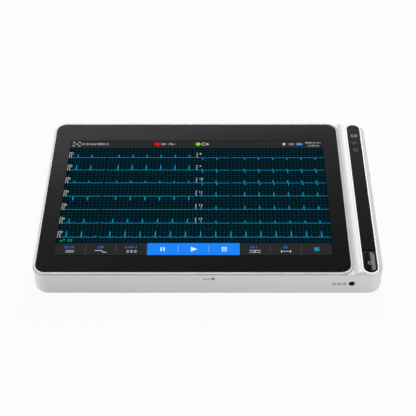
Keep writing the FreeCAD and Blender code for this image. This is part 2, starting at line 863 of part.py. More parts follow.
def make_display():
    flange = around_glass("bezel_flange", "glass_gap + bezel_width",
                          ("deck_z + reveal_height", "crest_z"), "bezel_round")
    foot = around_glass("bezel_foot", "glass_gap + bezel_width - reveal_depth",
                        ("deck_z", "deck_z + 2 * reveal_height"))
    inside = around_glass("bezel_inside", "glass_gap", ("deck_z - over", "crest_z + over"))
    node("display_bezel", cut("display_bezel", fuse("bezel_solid", [flange, foot]), [inside]))
    node("cover_glass", around_glass("cover_glass", "0", ("glass_z", "crest_z"), "glass_edge"))
    tape = around_glass("tape_outline", "-tape_inset", ("ledge_z", "glass_z"))
    tape_window = around_lcd("tape_window", "lcd_gap + tape_inset", ("ledge_z - over", "glass_z + over"),
                             "lcd_corner")
    node("glass_tape", cut("glass_tape", tape, [tape_window]))
    node("lcd_panel", around_lcd("lcd_panel", "0", ("lcd_z", "ledge_z"), "lcd_corner"))


def make_chassis():
    sheet_metal = plate(
        "chassis_sheet",
        ("chassis_boss_left - chassis_boss", "chassis_boss_right + chassis_boss"),
        ("lcd_front - chassis_front", "lcd_back + chassis_rear"),
        ("chassis_z", "lcd_z"),
        "chassis_corner",
    )
    holes = [rod(f"chassis_hole_{i}", "small_shank + screw_gap", (x, y, "chassis_z - over"), "3 * over")
             for i, (x, y) in enumerate(chassis_screw_places)]
    holes += [rod(f"standoff_hole_{i}", "small_shank + thread_gap", (x, y, "chassis_z - over"), "3 * over")
              for i, (x, y) in enumerate(standoff_places)]
    node("lcd_chassis", cut("lcd_chassis", sheet_metal, holes))
    screws = [screw(f"chassis_screw_{i}", x, y, "chassis_z", "small", "small_length")
              for i, (x, y) in enumerate(chassis_screw_places)]
    node("chassis_screws", group("chassis_screws", screws))


def make_lcd_flex():
    """A ribbon that leaves the panel's front edge and folds back on to the board."""
    across = ("lcd_flex_left", "lcd_flex_left + lcd_flex_width")
    fold_y = "lcd_front - lcd_flex_bow"
    upper_z = "board_top_z + lcd_flex_drop"
    upper = block("flex_upper", across, (fold_y, "lcd_front"), (f"{upper_z} - flex_thickness", upper_z))
    fold = block("flex_fold", across, (fold_y, f"{fold_y} + flex_thickness"), ("board_top_z", upper_z))
    lower = block("flex_lower", across, (fold_y, f"{fold_y} + lcd_flex_tail"),
                  ("board_top_z", "board_top_z + flex_thickness"))
    node("lcd_flex", fuse("lcd_flex", [upper, fold, lower]))


# Spine: trim, lens, light guides and the power key

def make_spine():
    rim = pill("trim_rim", "strip_x", "strip_round_front", ("deck_z", "crest_z"), "trim_outer",
               "strip_run", "trim_round")
    opening = pill("trim_opening", "strip_x", "strip_round_front", ("deck_z - over", "crest_z + over"),
                   "trim_inner", "strip_run")
    node("spine_trim", cut("spine_trim", rim, [opening]))
    lens_run = "strip_round_back - key_back - key_gap"
    node("indicator_lens", tongue("indicator_lens", "strip_x", "strip_round_back", ("lens_z", "crest_z"),
                                  "strip_radius", lens_run, True))
    tape = tongue("lens_tape_strip", "strip_x", "strip_round_back", ("strip_floor_z", "lens_z"),
                  "strip_radius - lens_tape_inset", f"{lens_run} - lens_tape_inset - key_gap", True)
    holes = [rod(f"tape_hole_{i}", "guide_radius + guide_gap", ("strip_x", y, "strip_floor_z - over"),
                 "3 * over") for i, y in enumerate(light_places)]
    node("lens_tape", cut("lens_tape", tape, holes))
    guides = [rod(f"light_guide_{i}", "guide_radius", ("strip_x", y, "guide_z"), "lens_z - guide_z")
              for i, y in enumerate(light_places)]
    node("light_guides", group("light_guides", guides))


def make_indicators():
    half = "led_board_width / 2"
    panel = block("led_panel", (f"strip_x - {half}", f"strip_x + {half}"),
                  ("led_board_front", "led_board_back"), ("led_board_z", "led_board_top"))
    holes = [rod(f"led_board_hole_{i}", "small_shank + screw_gap",
                 ("led_post_x", y, "led_board_z - over"), "3 * over")
             for i, y in enumerate(led_post_places)]
    node("led_board", cut("led_board", panel, holes))
    edge = "led_width / 2"
    lights = [block(f"led_{i}", (f"strip_x - {edge}", f"strip_x + {edge}"),
                    (f"{y} - {edge}", f"{y} + {edge}"), ("led_board_top", "led_top"))
              for i, y in enumerate(light_places)]
    node("indicator_leds", group("indicator_leds", lights))
    screws = [screw(f"led_screw_{i}", "led_post_x", y, "led_board_z", "small", "small_length")
              for i, y in enumerate(led_post_places)]
    node("led_screws", group("led_screws", screws))
    level = ("board_top_z", "led_board_z")
    crossing = block("led_flex_crossing", ("led_flex_left", "strip_x"),
                     ("led_board_front", "led_board_front + led_flex_width"), level)
    run = block("led_flex_run", ("led_flex_left", "led_flex_left + led_flex_width"),
                ("board_rear - led_flex_width", "led_board_front + led_flex_width"), level)
    node("led_flex", fuse("led_flex", [crossing, run]))


def make_power_key():
    plan = ("strip_x", "strip_round_front")
    key_end = "key_back - strip_round_front"
    flange = tongue("key_flange", *plan, ("key_flange_z", "key_flange_top"), "key_flange_radius",
                    f"{key_end} - key_gap")
    face = tongue("key_face", *plan, ("key_flange_z", "key_top_z"), "key_radius", key_end)
    raised = pill("pillow_outline", "strip_x", "pillow_front", ("key_flange_top", "crest_z + over"),
                  "pillow_radius", "pillow_run")
    crown = rod("pillow_crown", "crown_radius", ("strip_x", "strip_front - over", "crest_z - crown_radius"),
                "key_length + 2 * over", "y")
    pillow = common("key_pillow", raised, crown)
    stem = rod("key_stem", "stem_radius", ("strip_x", "key_y", "stem_z"), "key_flange_top - stem_z")
    node("power_key", fuse("power_key", [flange, face, pillow, stem]))

    half = "switch_width / 2"
    housing = block("switch_housing", (f"strip_x - {half}", f"strip_x + {half}"),
                    (f"key_y - {half}", f"key_y + {half}"), ("board_top_z", "switch_top_z"))
    bore = rod("switch_bore", "plunger_radius + running_gap",
               ("strip_x", "key_y", "board_top_z + switch_floor"), "switch_height + over")
    node("power_switch", cut("power_switch", housing, [bore]))
    node("power_plunger", rod("power_plunger", "plunger_radius",
                              ("strip_x", "key_y", "switch_top_z - plunger_depth"),
                              "plunger_depth + plunger_proud"))


def make_reset_button():
    half = "reset_switch_width / 2"
    housing = block("reset_housing", (f"reset_x - {half}", f"reset_x + {half}"),
                    ("reset_switch_y", "reset_switch_y + reset_switch_depth"),
                    ("board_top_z", "2 * reset_z - board_top_z"))
    bore = rod("reset_bore", "reset_plunger_radius + running_gap",
               ("reset_x", "reset_switch_y - over", "reset_z"), "over + reset_bore_depth", "y")
    node("reset_switch", cut("reset_switch", housing, [bore]))
    node("reset_plunger", rod("reset_plunger", "reset_plunger_radius",
                              ("reset_x", "reset_tip_y", "reset_z"), "reset_plunger_length", "y"))


# Main board and what it carries

def make_main_board():
    panel = block("board_panel", ("board_left", "board_right"), ("board_front", "board_rear"),
                  ("board_z", "board_top_z"))
    cutters = [block("board_notch", ("board_right - board_notch_x", "board_right + over"),
                     ("board_front - over", "board_front + board_notch_y"),
                     ("board_z - over", "board_top_z + over"))]
    cutters += [rod(f"board_hole_{i}", "small_shank + screw_gap", (x, y, "board_z - over"), "3 * over")
                for i, (x, y) in enumerate(standoff_places)]
    node("main_board", cut("main_board", panel, cutters))
    standoffs = []
    for index, (x, y) in enumerate(standoff_places):
        post = rod(f"standoff_post_{index}", "standoff_radius", (x, y, "board_top_z"), "standoff_height")
        hole = rod(f"standoff_bore_{index}", "small_shank + screw_gap", (x, y, "board_top_z - over"),
                   "3 * over")
        standoffs.append(cut(f"standoff_{index}", post, [hole]))
    node("board_standoffs", group("board_standoffs", standoffs))
    screws = [screw(f"board_screw_{i}", x, y, "board_z", "small",
                    "board_thickness + standoff_height + chassis_thickness")
              for i, (x, y) in enumerate(standoff_places)]
    node("board_screws", group("board_screws", screws))


def can(label, x, y, z, open_side):
    """A thin sheet can, open on the side that faces its board."""
    spans = [x, y, z]
    shell = block(label + "_outside", *spans)
    inner = [(f"{low} + can_wall", f"{high} - can_wall") for low, high in spans]
    axis, high_side = open_side
    low, high = inner[axis]
    inner[axis] = (low, f"{high} + over") if high_side else (f"{low} - over", high)
    return node(label, cut(label, shell, [block(label + "_inside", *inner)]))


def make_board_cans():
    up = (2, True)
    can("processor_shield", ("cpu_shield_left", "cpu_shield_left + cpu_shield_length"),
        ("cpu_shield_front", "cpu_shield_front + cpu_shield_depth"),
        ("board_z - cpu_shield_height", "board_z"), up)
    can("wifi_module", ("wifi_left", "wifi_left + wifi_length"),
        ("wifi_front", "wifi_front + wifi_depth"), ("board_z - wifi_height", "board_z"), up)


def make_antenna():
    node("wifi_antenna", block("wifi_antenna", ("antenna_left", "antenna_left + antenna_length"),
                               ("antenna_y", "antenna_y + antenna_thickness"),
                               ("antenna_z", "antenna_z + antenna_height")))
    line_y = "antenna_y - antenna_lead_radius"
    line_x = "wifi_left + wifi_length / 2"
    line_z = "board_z - wifi_height / 2"
    points = [("antenna_left + antenna_length / 2", line_y, line_z), (line_x, line_y, line_z),
              (line_x, "wifi_front + wifi_depth", line_z)]
    node("antenna_lead", wire_lead("antenna_lead", points, "antenna_lead_radius", "antenna_lead_bend"))


def make_dc_inlet():
    half = "dc_body_width / 2"
    back = "dc_face_y + dc_body_length"
    housing = block("dc_housing", (f"dc_x - {half}", f"dc_x + {half}"), ("dc_face_y", back),
                    ("dc_z - dc_body_below", "board_z"))
    bore = rod("dc_bore", "dc_bore", ("dc_x", "dc_face_y - over", "dc_z"), "over + dc_bore_depth", "y")
    node("dc_jack", cut("dc_jack", housing, [bore]))
    node("dc_pin", rod("dc_pin", "dc_pin_radius", ("dc_x", "dc_face_y + dc_pin_setback", "dc_z"),
                       "dc_bore_depth - dc_pin_setback", "y"))


def make_usb_port():
    half = "usb_width / 2"
    outside = block("usb_outside", ("usb_back_x", "usb_face_x"), (f"usb_y - {half}", f"usb_y + {half}"),
                    ("usb_z", "board_z"))
    inside = block("usb_inside", ("usb_back_x + usb_wall", "usb_face_x + over"),
                   (f"usb_y - {half} + usb_wall", f"usb_y + {half} - usb_wall"),
                   ("usb_z + usb_wall", "board_z - usb_wall"))
    node("usb_port", cut("usb_port", outside, [inside]))
    tongue_half = "usb_tongue_width / 2"
    node("usb_tongue", block("usb_tongue",
                             ("usb_back_x + usb_wall", "usb_back_x + usb_wall + usb_tongue_length"),
                             (f"usb_y - {tongue_half}", f"usb_y + {tongue_half}"),
                             ("usb_z + usb_tongue_rise", "usb_z + usb_tongue_rise + usb_tongue_height")))


# Patient cable socket and the amplifier board behind it

def make_patient_socket():
    flange = rod("socket_flange", "socket_flange_radius", ("right_x", "socket_y", "socket_z"),
                 "socket_flange", "x")
    doc.recompute()
    collar = doc.addObject("Part::Fillet", "socket_collar")
    collar.Base = flange
    size = number("socket_round")
    face = number("socket_face_x")
    collar.Edges = [(i, size, size) for i, edge in enumerate(flange.Shape.Edges, start=1)
                    if edge.BoundBox.XMin > face - size]
    shank = rod("socket_shank", "socket_shank_radius", ("socket_back_x", "socket_y", "socket_z"),
                "socket_shank_length", "x")
    bore = rod("socket_bore", "socket_bore", ("socket_step_x", "socket_y", "socket_z"),
               "socket_bore_depth + over", "x")
    core = rod("socket_core", "socket_core", ("socket_back_x - over", "socket_y", "socket_z"),
               "socket_shank_length + over", "x")
    node("patient_socket", cut("patient_socket", fuse("socket_solid", [collar, shank]), [bore, core]))
    plug = rod("insert_plug", "socket_core - running_gap", ("socket_back_x", "socket_y", "socket_z"),
               "socket_step_x - socket_back_x", "x")
    holes = []
    contacts = []
    for index, angle in enumerate(contact_angles):
        y, z = contact_place(angle)
        holes.append(rod(f"contact_hole_{index}", "contact_radius + running_gap",
                         ("socket_back_x - over", y, z), "socket_shank_length + 2 * over", "x"))
        contacts.append(rod(f"contact_{index}", "contact_radius", ("ecg_board_x", y, z),
                            "socket_step_x - ecg_board_x", "x"))
    node("socket_insert", cut("socket_insert", plug, holes))
    node("socket_contacts", group("socket_contacts", contacts))
    ring = rod("nut_ring", "nut_radius", ("right_x - wall - nut_thickness", "socket_y", "socket_z"),
               "nut_thickness", "x")
    bolt_way = rod("nut_bore", "socket_shank_radius + running_gap",
                   ("right_x - wall - nut_thickness - over", "socket_y", "socket_z"),
                   "nut_thickness + 2 * over", "x")
    slot = block("nut_slot", ("right_x - wall - nut_thickness - over", "right_x - wall - nut_thickness / 2"),
                 ("socket_y - nut_radius - over", "socket_y + nut_radius + over"),
                 ("socket_z - nut_slot / 2", "socket_z + nut_slot / 2"))
    node("socket_nut", cut("socket_nut", ring, [bolt_way, slot]))


def make_ecg_board():
    low, high = "socket_z - ecg_board_below", "socket_z + ecg_board_above"
    node("ecg_board", block("ecg_board", ("ecg_board_left", "ecg_board_x"),
                            ("ecg_board_front", "ecg_board_rear"), (low, high)))
    can("ecg_shield", ("ecg_board_left - ecg_shield_depth", "ecg_board_left"),
        ("ecg_board_front + ecg_shield_margin", "ecg_board_rear - ecg_shield_margin"),
        (f"{low} + ecg_shield_rim", f"{high} - ecg_shield_rim"), (0, True))


# Battery and loudspeaker

def make_battery():
    node("battery_pad", plate(
        "battery_pad",
        ("battery_left + pad_inset", "battery_right - pad_inset"),
        ("battery_front + pad_inset", "battery_back - pad_inset"),
        ("cover_top_z", "battery_z"),
        "battery_corner",
    ))
    node("battery_pack", plate(
        "battery_pack",
        ("battery_left", "battery_right"),
        ("battery_front", "battery_back"),
        ("battery_z", "battery_z + battery_thickness"),
        "battery_corner",
        "battery_edge",
        "battery_edge",
    ))
    plug_middle = "plug_z + plug_height / 2"
    points = [("battery_right", "lead_y", "lead_z"), ("(battery_right + plug_left) / 2", "lead_y", "lead_z"),
              ("(battery_right + plug_left) / 2", "lead_y", plug_middle), ("plug_left", "lead_y", plug_middle)]
    node("battery_lead", wire_lead("battery_lead", points, "lead_radius", "lead_bend"))
    node("battery_plug", block("battery_plug", ("plug_left", "plug_left + plug_width"),
                               ("lead_y - plug_width / 2", "lead_y + plug_width / 2"), ("plug_z", "board_z")))


def make_speaker():
    plan = (("speaker_left", "speaker_right"), ("speaker_front", "speaker_back"))
    node("speaker", plate("speaker", *plan, ("speaker_z", "speaker_z + speaker_thickness"),
                          "speaker_corner"))
    seal = plate("gasket_outline", *plan, ("cover_top_z", "speaker_z"), "speaker_corner")
    mouth = plate(
        "gasket_mouth",
        ("speaker_left + gasket_width", "speaker_right - gasket_width"),
        ("speaker_front + gasket_width", "speaker_back - gasket_width"),
        ("cover_top_z - over", "speaker_z + over"),
        "speaker_corner - gasket_width",
    )
    node("speaker_gasket", cut("speaker_gasket", seal, [mouth]))
    line_z = "speaker_z + speaker_thickness / 2"
    end_y = "board_rear - speaker_lead_setback"
    points = [("speaker_right", "speaker_y", line_z), ("speaker_lead_x", "speaker_y", line_z),
              ("speaker_lead_x", end_y, line_z), ("speaker_lead_x", end_y, "board_z")]
    node("speaker_lead", wire_lead("speaker_lead", points, "speaker_lead_radius", "speaker_lead_bend"))


def check_and_write():
    doc.recompute()
    for item in doc.Objects:
        if "Invalid" in item.State or "Error" in item.State:
            raise RuntimeError(f"{item.Label} did not build: {item.State}")
    os.makedirs("parts", exist_ok=True)
    for item in nodes:
        if item.Shape.isNull() or not item.Shape.isValid():
            raise RuntimeError(f"{item.Label} has no valid shape")
    for item in nodes:
        item.Shape.exportStep(f"parts/{item.Label}.step")
        print(item.Label, len(item.Shape.Solids), "solids", round(item.Shape.Volume, 1), "mm3")


make_main_case()
make_back_cover()
make_feet()
make_case_screws()
make_display()
make_chassis()
make_lcd_flex()
make_spine()
make_indicators()
make_power_key()
make_reset_button()
make_main_board()
make_board_cans()
make_antenna()
make_dc_inlet()
make_usb_port()
make_patient_socket()
make_ecg_board()
make_battery()
make_speaker()
check_and_write()
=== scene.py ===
# %% [markdown]
# # A tablet electrocardiograph, dressed for a studio picture
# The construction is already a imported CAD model. This lesson gives it its finishes, its lit
# screen and its printed signs. Every length is in metres and in the CAD model's frame: X to
# the right, Y to the back, Z up, with the origin on the table under the case.

# %% Load the frame
import bpy
import bmesh
import json
import math
import numpy as np
from mathutils import Euler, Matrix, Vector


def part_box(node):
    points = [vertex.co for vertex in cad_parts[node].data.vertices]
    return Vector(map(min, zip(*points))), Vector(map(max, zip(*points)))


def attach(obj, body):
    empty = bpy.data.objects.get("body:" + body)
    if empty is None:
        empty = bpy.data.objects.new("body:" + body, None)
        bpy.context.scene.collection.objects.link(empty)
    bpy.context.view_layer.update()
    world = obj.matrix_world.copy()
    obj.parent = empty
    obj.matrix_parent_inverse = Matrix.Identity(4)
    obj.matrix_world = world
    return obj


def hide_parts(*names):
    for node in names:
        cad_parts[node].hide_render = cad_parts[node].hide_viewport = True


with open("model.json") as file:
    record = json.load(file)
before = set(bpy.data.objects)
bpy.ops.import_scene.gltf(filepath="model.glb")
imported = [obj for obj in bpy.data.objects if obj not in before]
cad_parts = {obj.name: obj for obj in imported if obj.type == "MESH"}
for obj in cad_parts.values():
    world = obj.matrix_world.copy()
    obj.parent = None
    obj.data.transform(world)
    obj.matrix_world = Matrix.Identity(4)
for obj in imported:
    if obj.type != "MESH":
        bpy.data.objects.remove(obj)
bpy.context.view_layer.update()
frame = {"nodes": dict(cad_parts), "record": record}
MM = 0.001

# %% [markdown]
# ## Camera
# The photograph looks down at the screen with a long lens, square to the front edge. Its
# level edges stay level, but the edges that run back meet to the right of the picture's
# middle. Turning the camera would tilt the level edges, so a sideways lens shift is used.

# %% Camera
PICTURE = 416
FOCAL_PIXELS = 1092.1
SENSOR = 36.0
LOOK_DOWN = math.radians(44.6)
CAMERA_PLACE = (10.85 * MM, -645.0 * MM, 642.7 * MM)
NEAREST = 0.05
VANISHING_OFFSET = 14.0
LEVEL_OFFSET = 0.4


def make_camera():
    """Focal length is the sensor's width times the focal length in pixels, over the picture's
    width in pixels."""
    lens = bpy.data.cameras.new("studio_camera")
    lens.sensor_width = SENSOR
    lens.lens = SENSOR * FOCAL_PIXELS / PICTURE
    lens.shift_x = -VANISHING_OFFSET / PICTURE
    lens.shift_y = LEVEL_OFFSET / PICTURE
    lens.clip_start = NEAREST
    camera = bpy.data.objects.new("studio_camera", lens)
    camera.location = CAMERA_PLACE
    camera.rotation_euler = Euler((math.pi / 2 - LOOK_DOWN, 0.0, 0.0))
    bpy.context.scene.collection.objects.link(camera)
    bpy.context.scene.camera = camera
    return camera


camera = make_camera()
print("camera focal length in mm:", round(camera.data.lens, 2))

# %% [markdown]
# ## Colours
# Screen and paint colours are easiest to read as the 0 to 255 values of a picture, while
# the shader wants linear light. One small function turns the first into the second. The
# Standard view shows that light as it is, so a colour looks about as it is written.

# %% Colour helper


def paint(red, green, blue):
    """Linear light from a display value c of 0 to 1: c plus 0.055, over 1.055, to the power 2.4.
    A dark value is c over 12.92."""
    c = np.array([red, green, blue], float) / 255.0
    linear = np.where(c <= 0.04045, c / 12.92, ((c + 0.055) / 1.055) ** 2.4)
    return (*linear.tolist(), 1.0)


def grey(level):
    """The same display value for red, green and blue."""
    return paint(level, level, level)


bpy.context.scene.view_settings.view_transform = "Standard"
print("mid grey as light:", round(grey(128)[0], 3))

# %% [markdown]
# ## Node helpers
# Materials and the world are built from nodes, and each node takes the same few steps: make
# it, set the constants of its inputs, join it to others. Written out every time, these steps
# would hide what a material does, so three helpers take them up. Light Path says which kind of
# ray is asking, and the larger of two of its answers stands for either kind.

# %% Node helpers


def add_node(tree, kind, constants=None, operation=None):
    """A new node with the constants of its inputs, by name or number, and its operation."""
    node = tree.nodes.new(kind)
    if operation:
        node.operation = operation
    for socket, value in (constants or {}).items():
        node.inputs[socket].default_value = value
    return node


def either_ray(tree, first, second):
    """1 for a ray of one kind or the other: the larger of two Light Path outputs."""
    path = add_node(tree, "ShaderNodeLightPath")
    larger = add_node(tree, "ShaderNodeMath", operation="MAXIMUM")
    tree.links.new(path.outputs[first], larger.inputs[0])
    tree.links.new(path.outputs[second], larger.inputs[1])
    return larger.outputs[0]


def mix_shaders(tree, share, without, within):
    """The first shader where the share is 0, and the second where it is 1."""
    mix = add_node(tree, "ShaderNodeMixShader")
    for socket, source in enumerate((share, without, within)):
        tree.links.new(source, mix.inputs[socket])
    return mix.outputs[0]


print("node helpers:", [helper.__name__ for helper in (add_node, either_ray, mix_shaders)])

# %% [markdown]
# ## What the gloss mirrors
# Black glass shows only what it mirrors, so the studio needs walls. A bright wall low down
# fades to a dark ceiling: the glass then runs from grey at its back edge to near black at the
# front, as glass on a table does. A dark card on the right keeps the rounded right side of the
# case from shining. Wall and card could be large lit planes, but as a ramp over the direction
# of a ray they cast no shadow and need no place in the scene.

# %% Mirrored wall
WALL_LEAN = 0.12
WALL_COOL = 1.06
WALL_HEIGHTS = (0.600, 0.646, 0.663, 0.684, 0.697, 0.720, 0.752)
WALL_GREYS = (1.0, 0.70, 0.42, 0.32, 0.26, 0.20, 0.13)
DARK_CARD = {"From Min": 0.25, "From Max": 0.55, "To Min": 1.0, "To Max": 0.1}


def grey_by_height(tree, direction):
    """A ray's direction times (lean, 0, 1) is its height, and a ramp gives the grey there."""
    height = add_node(tree, "ShaderNodeVectorMath", {1: (WALL_LEAN, 0.0, 1.0)}, "DOT_PRODUCT")
    tree.links.new(direction, height.inputs[0])
    ramp = add_node(tree, "ShaderNodeValToRGB")
    stops = ramp.color_ramp.elements
    stops.remove(stops[1])
    stops[0].position = WALL_HEIGHTS[0]
    for place in WALL_HEIGHTS[1:]:
        stops.new(place)
    for stop, level in zip(stops, WALL_GREYS):
        stop.color = (level, level, level * WALL_COOL, 1.0)
    tree.links.new(height.outputs["Value"], ramp.inputs["Fac"])
    return ramp.outputs["Color"]


def shade_of_card(tree, direction):
    """1 on the left, and less and less to the right, by the X of a ray's direction."""
    apart = add_node(tree, "ShaderNodeSeparateXYZ")
    tree.links.new(direction, apart.inputs[0])
    card = add_node(tree, "ShaderNodeMapRange", DARK_CARD)
    tree.links.new(apart.outputs["X"], card.inputs["Value"])
    return card.outputs["Result"]


def mirrored_wall(tree):
    """A background with the wall's grey as its colour and the card's shade as its strength."""
    direction = add_node(tree, "ShaderNodeTexCoord").outputs["Generated"]
    wall = add_node(tree, "ShaderNodeBackground")
    tree.links.new(grey_by_height(tree, direction), wall.inputs["Color"])
    tree.links.new(shade_of_card(tree, direction), wall.inputs["Strength"])
    return wall.outputs[0]


print("wall greys from", WALL_GREYS[0], "low down to", WALL_GREYS[-1], "overhead")

# %% [markdown]
# ## World
# The world plays three parts. Its weak even glow lights the plastic, its wall is what gloss
# mirrors, and its white is what the camera sees behind the machine. No single brightness is
# right for all three, so Light Path gives each kind of ray its own.

# %% World
AMBIENT = 0.17
GLOW_COLOUR = (1.0, 0.995, 0.985, 1.0)
SEEN_WHITE = (0.945, 0.945, 0.945, 1.0)


def make_world():
    """White for rays from the camera, the wall for mirrored rays and the glow for all others."""
    world = bpy.data.worlds.new("studio_world")
    world.use_nodes = True
    tree = world.node_tree
    tree.nodes.clear()
    glow = add_node(tree, "ShaderNodeBackground", {"Color": GLOW_COLOUR, "Strength": AMBIENT})
    seen = add_node(tree, "ShaderNodeBackground", {"Color": SEEN_WHITE})
    mirrored = either_ray(tree, "Is Glossy Ray", "Is Transmission Ray")
    unseen = mix_shaders(tree, mirrored, glow.outputs[0], mirrored_wall(tree))
    path = add_node(tree, "ShaderNodeLightPath")
    studio = mix_shaders(tree, path.outputs["Is Camera Ray"], unseen, seen.outputs[0])
    output = add_node(tree, "ShaderNodeOutputWorld")
    tree.links.new(studio, output.inputs["Surface"])
    bpy.context.scene.world = world


make_world()
print("world: glow", AMBIENT, "and white", SEEN_WHITE[0])

# %% [markdown]
# ## Lamps
# Five area lamps stand round the table. The one at the back sits where the top of the case
# mirrors it towards the camera, which draws the bright line along the crest. One on the left
# lifts the left rim, and a slightly cool one in front lights the wall that faces the camera.
# Another at the back is for the white rings round the glass and the strip, and a small one
# only puts the glint on the key. Soft boxes are chosen for their soft shadows.

# %% Lamps
NEUTRAL = (1.0, 1.0, 1.0)
COOL = (0.955, 0.99, 1.03)
LAMPS = {
    "back_softbox": {
        "place": (0.22, 1.02, 1.03), "size": (0.40, 0.30), "watts": 16.0, "colour": NEUTRAL,
    },
    "left_softbox": {
        "place": (-1.30, -0.05, 0.20), "size": (0.50, 0.20), "watts": 8.5, "colour": NEUTRAL,
    },
    "front_softbox": {
        "place": (0.74, -1.20, 0.35), "size": (0.50, 0.50), "watts": 8.2, "colour": COOL,
    },
    "ring_softbox": {
        "place": (-0.60, 0.97, 1.00), "size": (0.40, 0.30), "watts": 13.5, "colour": NEUTRAL,
    },
    "key_glint": {
        "place": (0.440, 0.74, 0.76), "size": (0.42, 0.22), "watts": 1.46, "colour": NEUTRAL,
    },
}
MIRRORED_LAMPS = ("back_softbox", "ring_softbox", "key_glint")
MACHINE_MIDDLE = (0.0, 0.0, 0.0)


def aim_at(place, target):
    """Turn that points a lamp's -Z at a target: tip by the angle from straight down, then turn
    about Z until it faces the target."""
    offset = np.array(target) - np.array(place)
    tip = math.atan2(math.hypot(offset[0], offset[1]), -offset[2])
    return Euler((tip, 0.0, math.atan2(offset[1], offset[0]) - math.pi / 2))


def make_lamp(name, place, size, watts, colour):
    """A rectangular lamp, aimed at the machine and unseen by the camera."""
    area = bpy.data.lights.new(name, "AREA")
    area.shape = "RECTANGLE"
    area.size, area.size_y = size
    area.energy = watts
    area.color = colour
    lamp = bpy.data.objects.new(name, area)
    lamp.location = place
    lamp.rotation_euler = aim_at(place, MACHINE_MIDDLE)
    lamp.visible_glossy = name in MIRRORED_LAMPS
    lamp.visible_transmission = False
    lamp.visible_camera = False
    bpy.context.scene.collection.objects.link(lamp)
    print(name, watts, "W")
    return lamp


lamps = {name: make_lamp(name, **values) for name, values in LAMPS.items()}

# %% [markdown]
# ## Flags
# The back lamp would also show as a white patch in the glass, the strip and the key. A
# photographer puts a flag, a black card on a stand, between a lamp and such a face. Blender's
# light linking does the same: a lamp can leave pieces out, or light only the pieces that it is
# meant for, as the lamp for the rings and the glint on the key do.

# %% Flags
BLACK_GLOSS = ("cover_glass", "indicator_lens", "power_key")
WHITE_RINGS = ("display_bezel", "spine_trim")


def link_light(lamp, names, state):
    """Pieces that a lamp leaves out, or the only ones that it lights."""
    linked = bpy.data.collections.new(lamp.name + "_linking")
    for name in names:
        linked.objects.link(frame["nodes"][name])
    lamp.light_linking.receiver_collection = linked
    for row in linked.collection_objects:
        row.light_linking.link_state = state


link_light(lamps["back_softbox"], (*BLACK_GLOSS, "display_bezel"), "EXCLUDE")
link_light(lamps["ring_softbox"], WHITE_RINGS, "INCLUDE")
link_light(lamps["key_glint"], ("power_key",), "INCLUDE")

# %% [markdown]
# ## Floor
# The machine stands on a white sweep. A lit floor is never quite white, and more light would
# bleach the case, so the floor glows by itself for rays from the camera and from gloss. A
# small share of plain white stays in the mix, and it keeps the machine's soft shadow.

# %% Floor
FLOOR_REACH = 6.0
FLOOR_GLOW = 0.93
FLOOR_WHITE = (0.8, 0.8, 0.8, 1.0)


def sweep_material():
    """Matt white, and for rays from the camera or from gloss mostly a glow of its own."""
    material = bpy.data.materials.new("white_sweep")
    material.use_nodes = True
    tree = material.node_tree
    tree.nodes.clear()
    matt = add_node(tree, "ShaderNodeBsdfDiffuse", {"Color": FLOOR_WHITE})
    glow = add_node(tree, "ShaderNodeEmission")
    share = add_node(tree, "ShaderNodeMath", {1: FLOOR_GLOW}, "MULTIPLY")
    tree.links.new(either_ray(tree, "Is Camera Ray", "Is Glossy Ray"), share.inputs[0])
    output = add_node(tree, "ShaderNodeOutputMaterial")
    sweep = mix_shaders(tree, share.outputs[0], matt.outputs[0], glow.outputs[0])
    tree.links.new(sweep, output.inputs["Surface"])
    return material


def make_floor():
    """A flat square, a grid of two by two points at height 0, just where the feet stand."""
    side = np.array([-FLOOR_REACH, FLOOR_REACH])
    across, along = np.meshgrid(side, side)
    points = np.stack([across.ravel(), along.ravel(), np.zeros(4)], axis=1)
    mesh = bpy.data.meshes.new("floor")
    mesh.from_pydata(points.tolist(), [], [(0, 1, 3, 2)])
    mesh.materials.append(sweep_material())
    floor = bpy.data.objects.new("floor", mesh)
    bpy.context.scene.collection.objects.link(floor)


make_floor()
print("floor side in m:", 2 * FLOOR_REACH)

# %% [markdown]
# ## Effect: the grain of a moulding
# Moulded plastic takes its fine grain from the spark-eroded steel of the mould, and its tone
# drifts slowly over a large face. Several finishes need that, so it is a node group, built
# once with its scales as named inputs. It reads Object coordinates, so the pattern stays on
# the piece when the piece moves.

# %% Grain group
FINE_GRAIN = 4200.0
FINE_DETAIL = 3.0
SLOW_DRIFT = 14.0
SLOW_DETAIL = 2.0
DRIFT_AMOUNT = 0.02


def new_group(name, inputs, outputs):
    """An empty shader group with float inputs, each with its start value, and float outputs."""
    group = bpy.data.node_groups.new(name, "ShaderNodeTree")
    for label, value in inputs.items():
        socket = group.interface.new_socket(label, in_out="INPUT", socket_type="NodeSocketFloat")
        socket.default_value = value
    for label in outputs:
        group.interface.new_socket(label, in_out="OUTPUT", socket_type="NodeSocketFloat")
    return group, group.nodes.new("NodeGroupInput"), group.nodes.new("NodeGroupOutput")


def noise_on_piece(group, scale, constants):
    """Noise over the piece's own coordinates, with its scale from a group input."""
    where = add_node(group, "ShaderNodeTexCoord")
    noise = add_node(group, "ShaderNodeTexNoise", constants)
    group.links.new(where.outputs["Object"], noise.inputs["Vector"])
    group.links.new(scale, noise.inputs["Scale"])
    return noise.outputs["Fac"]


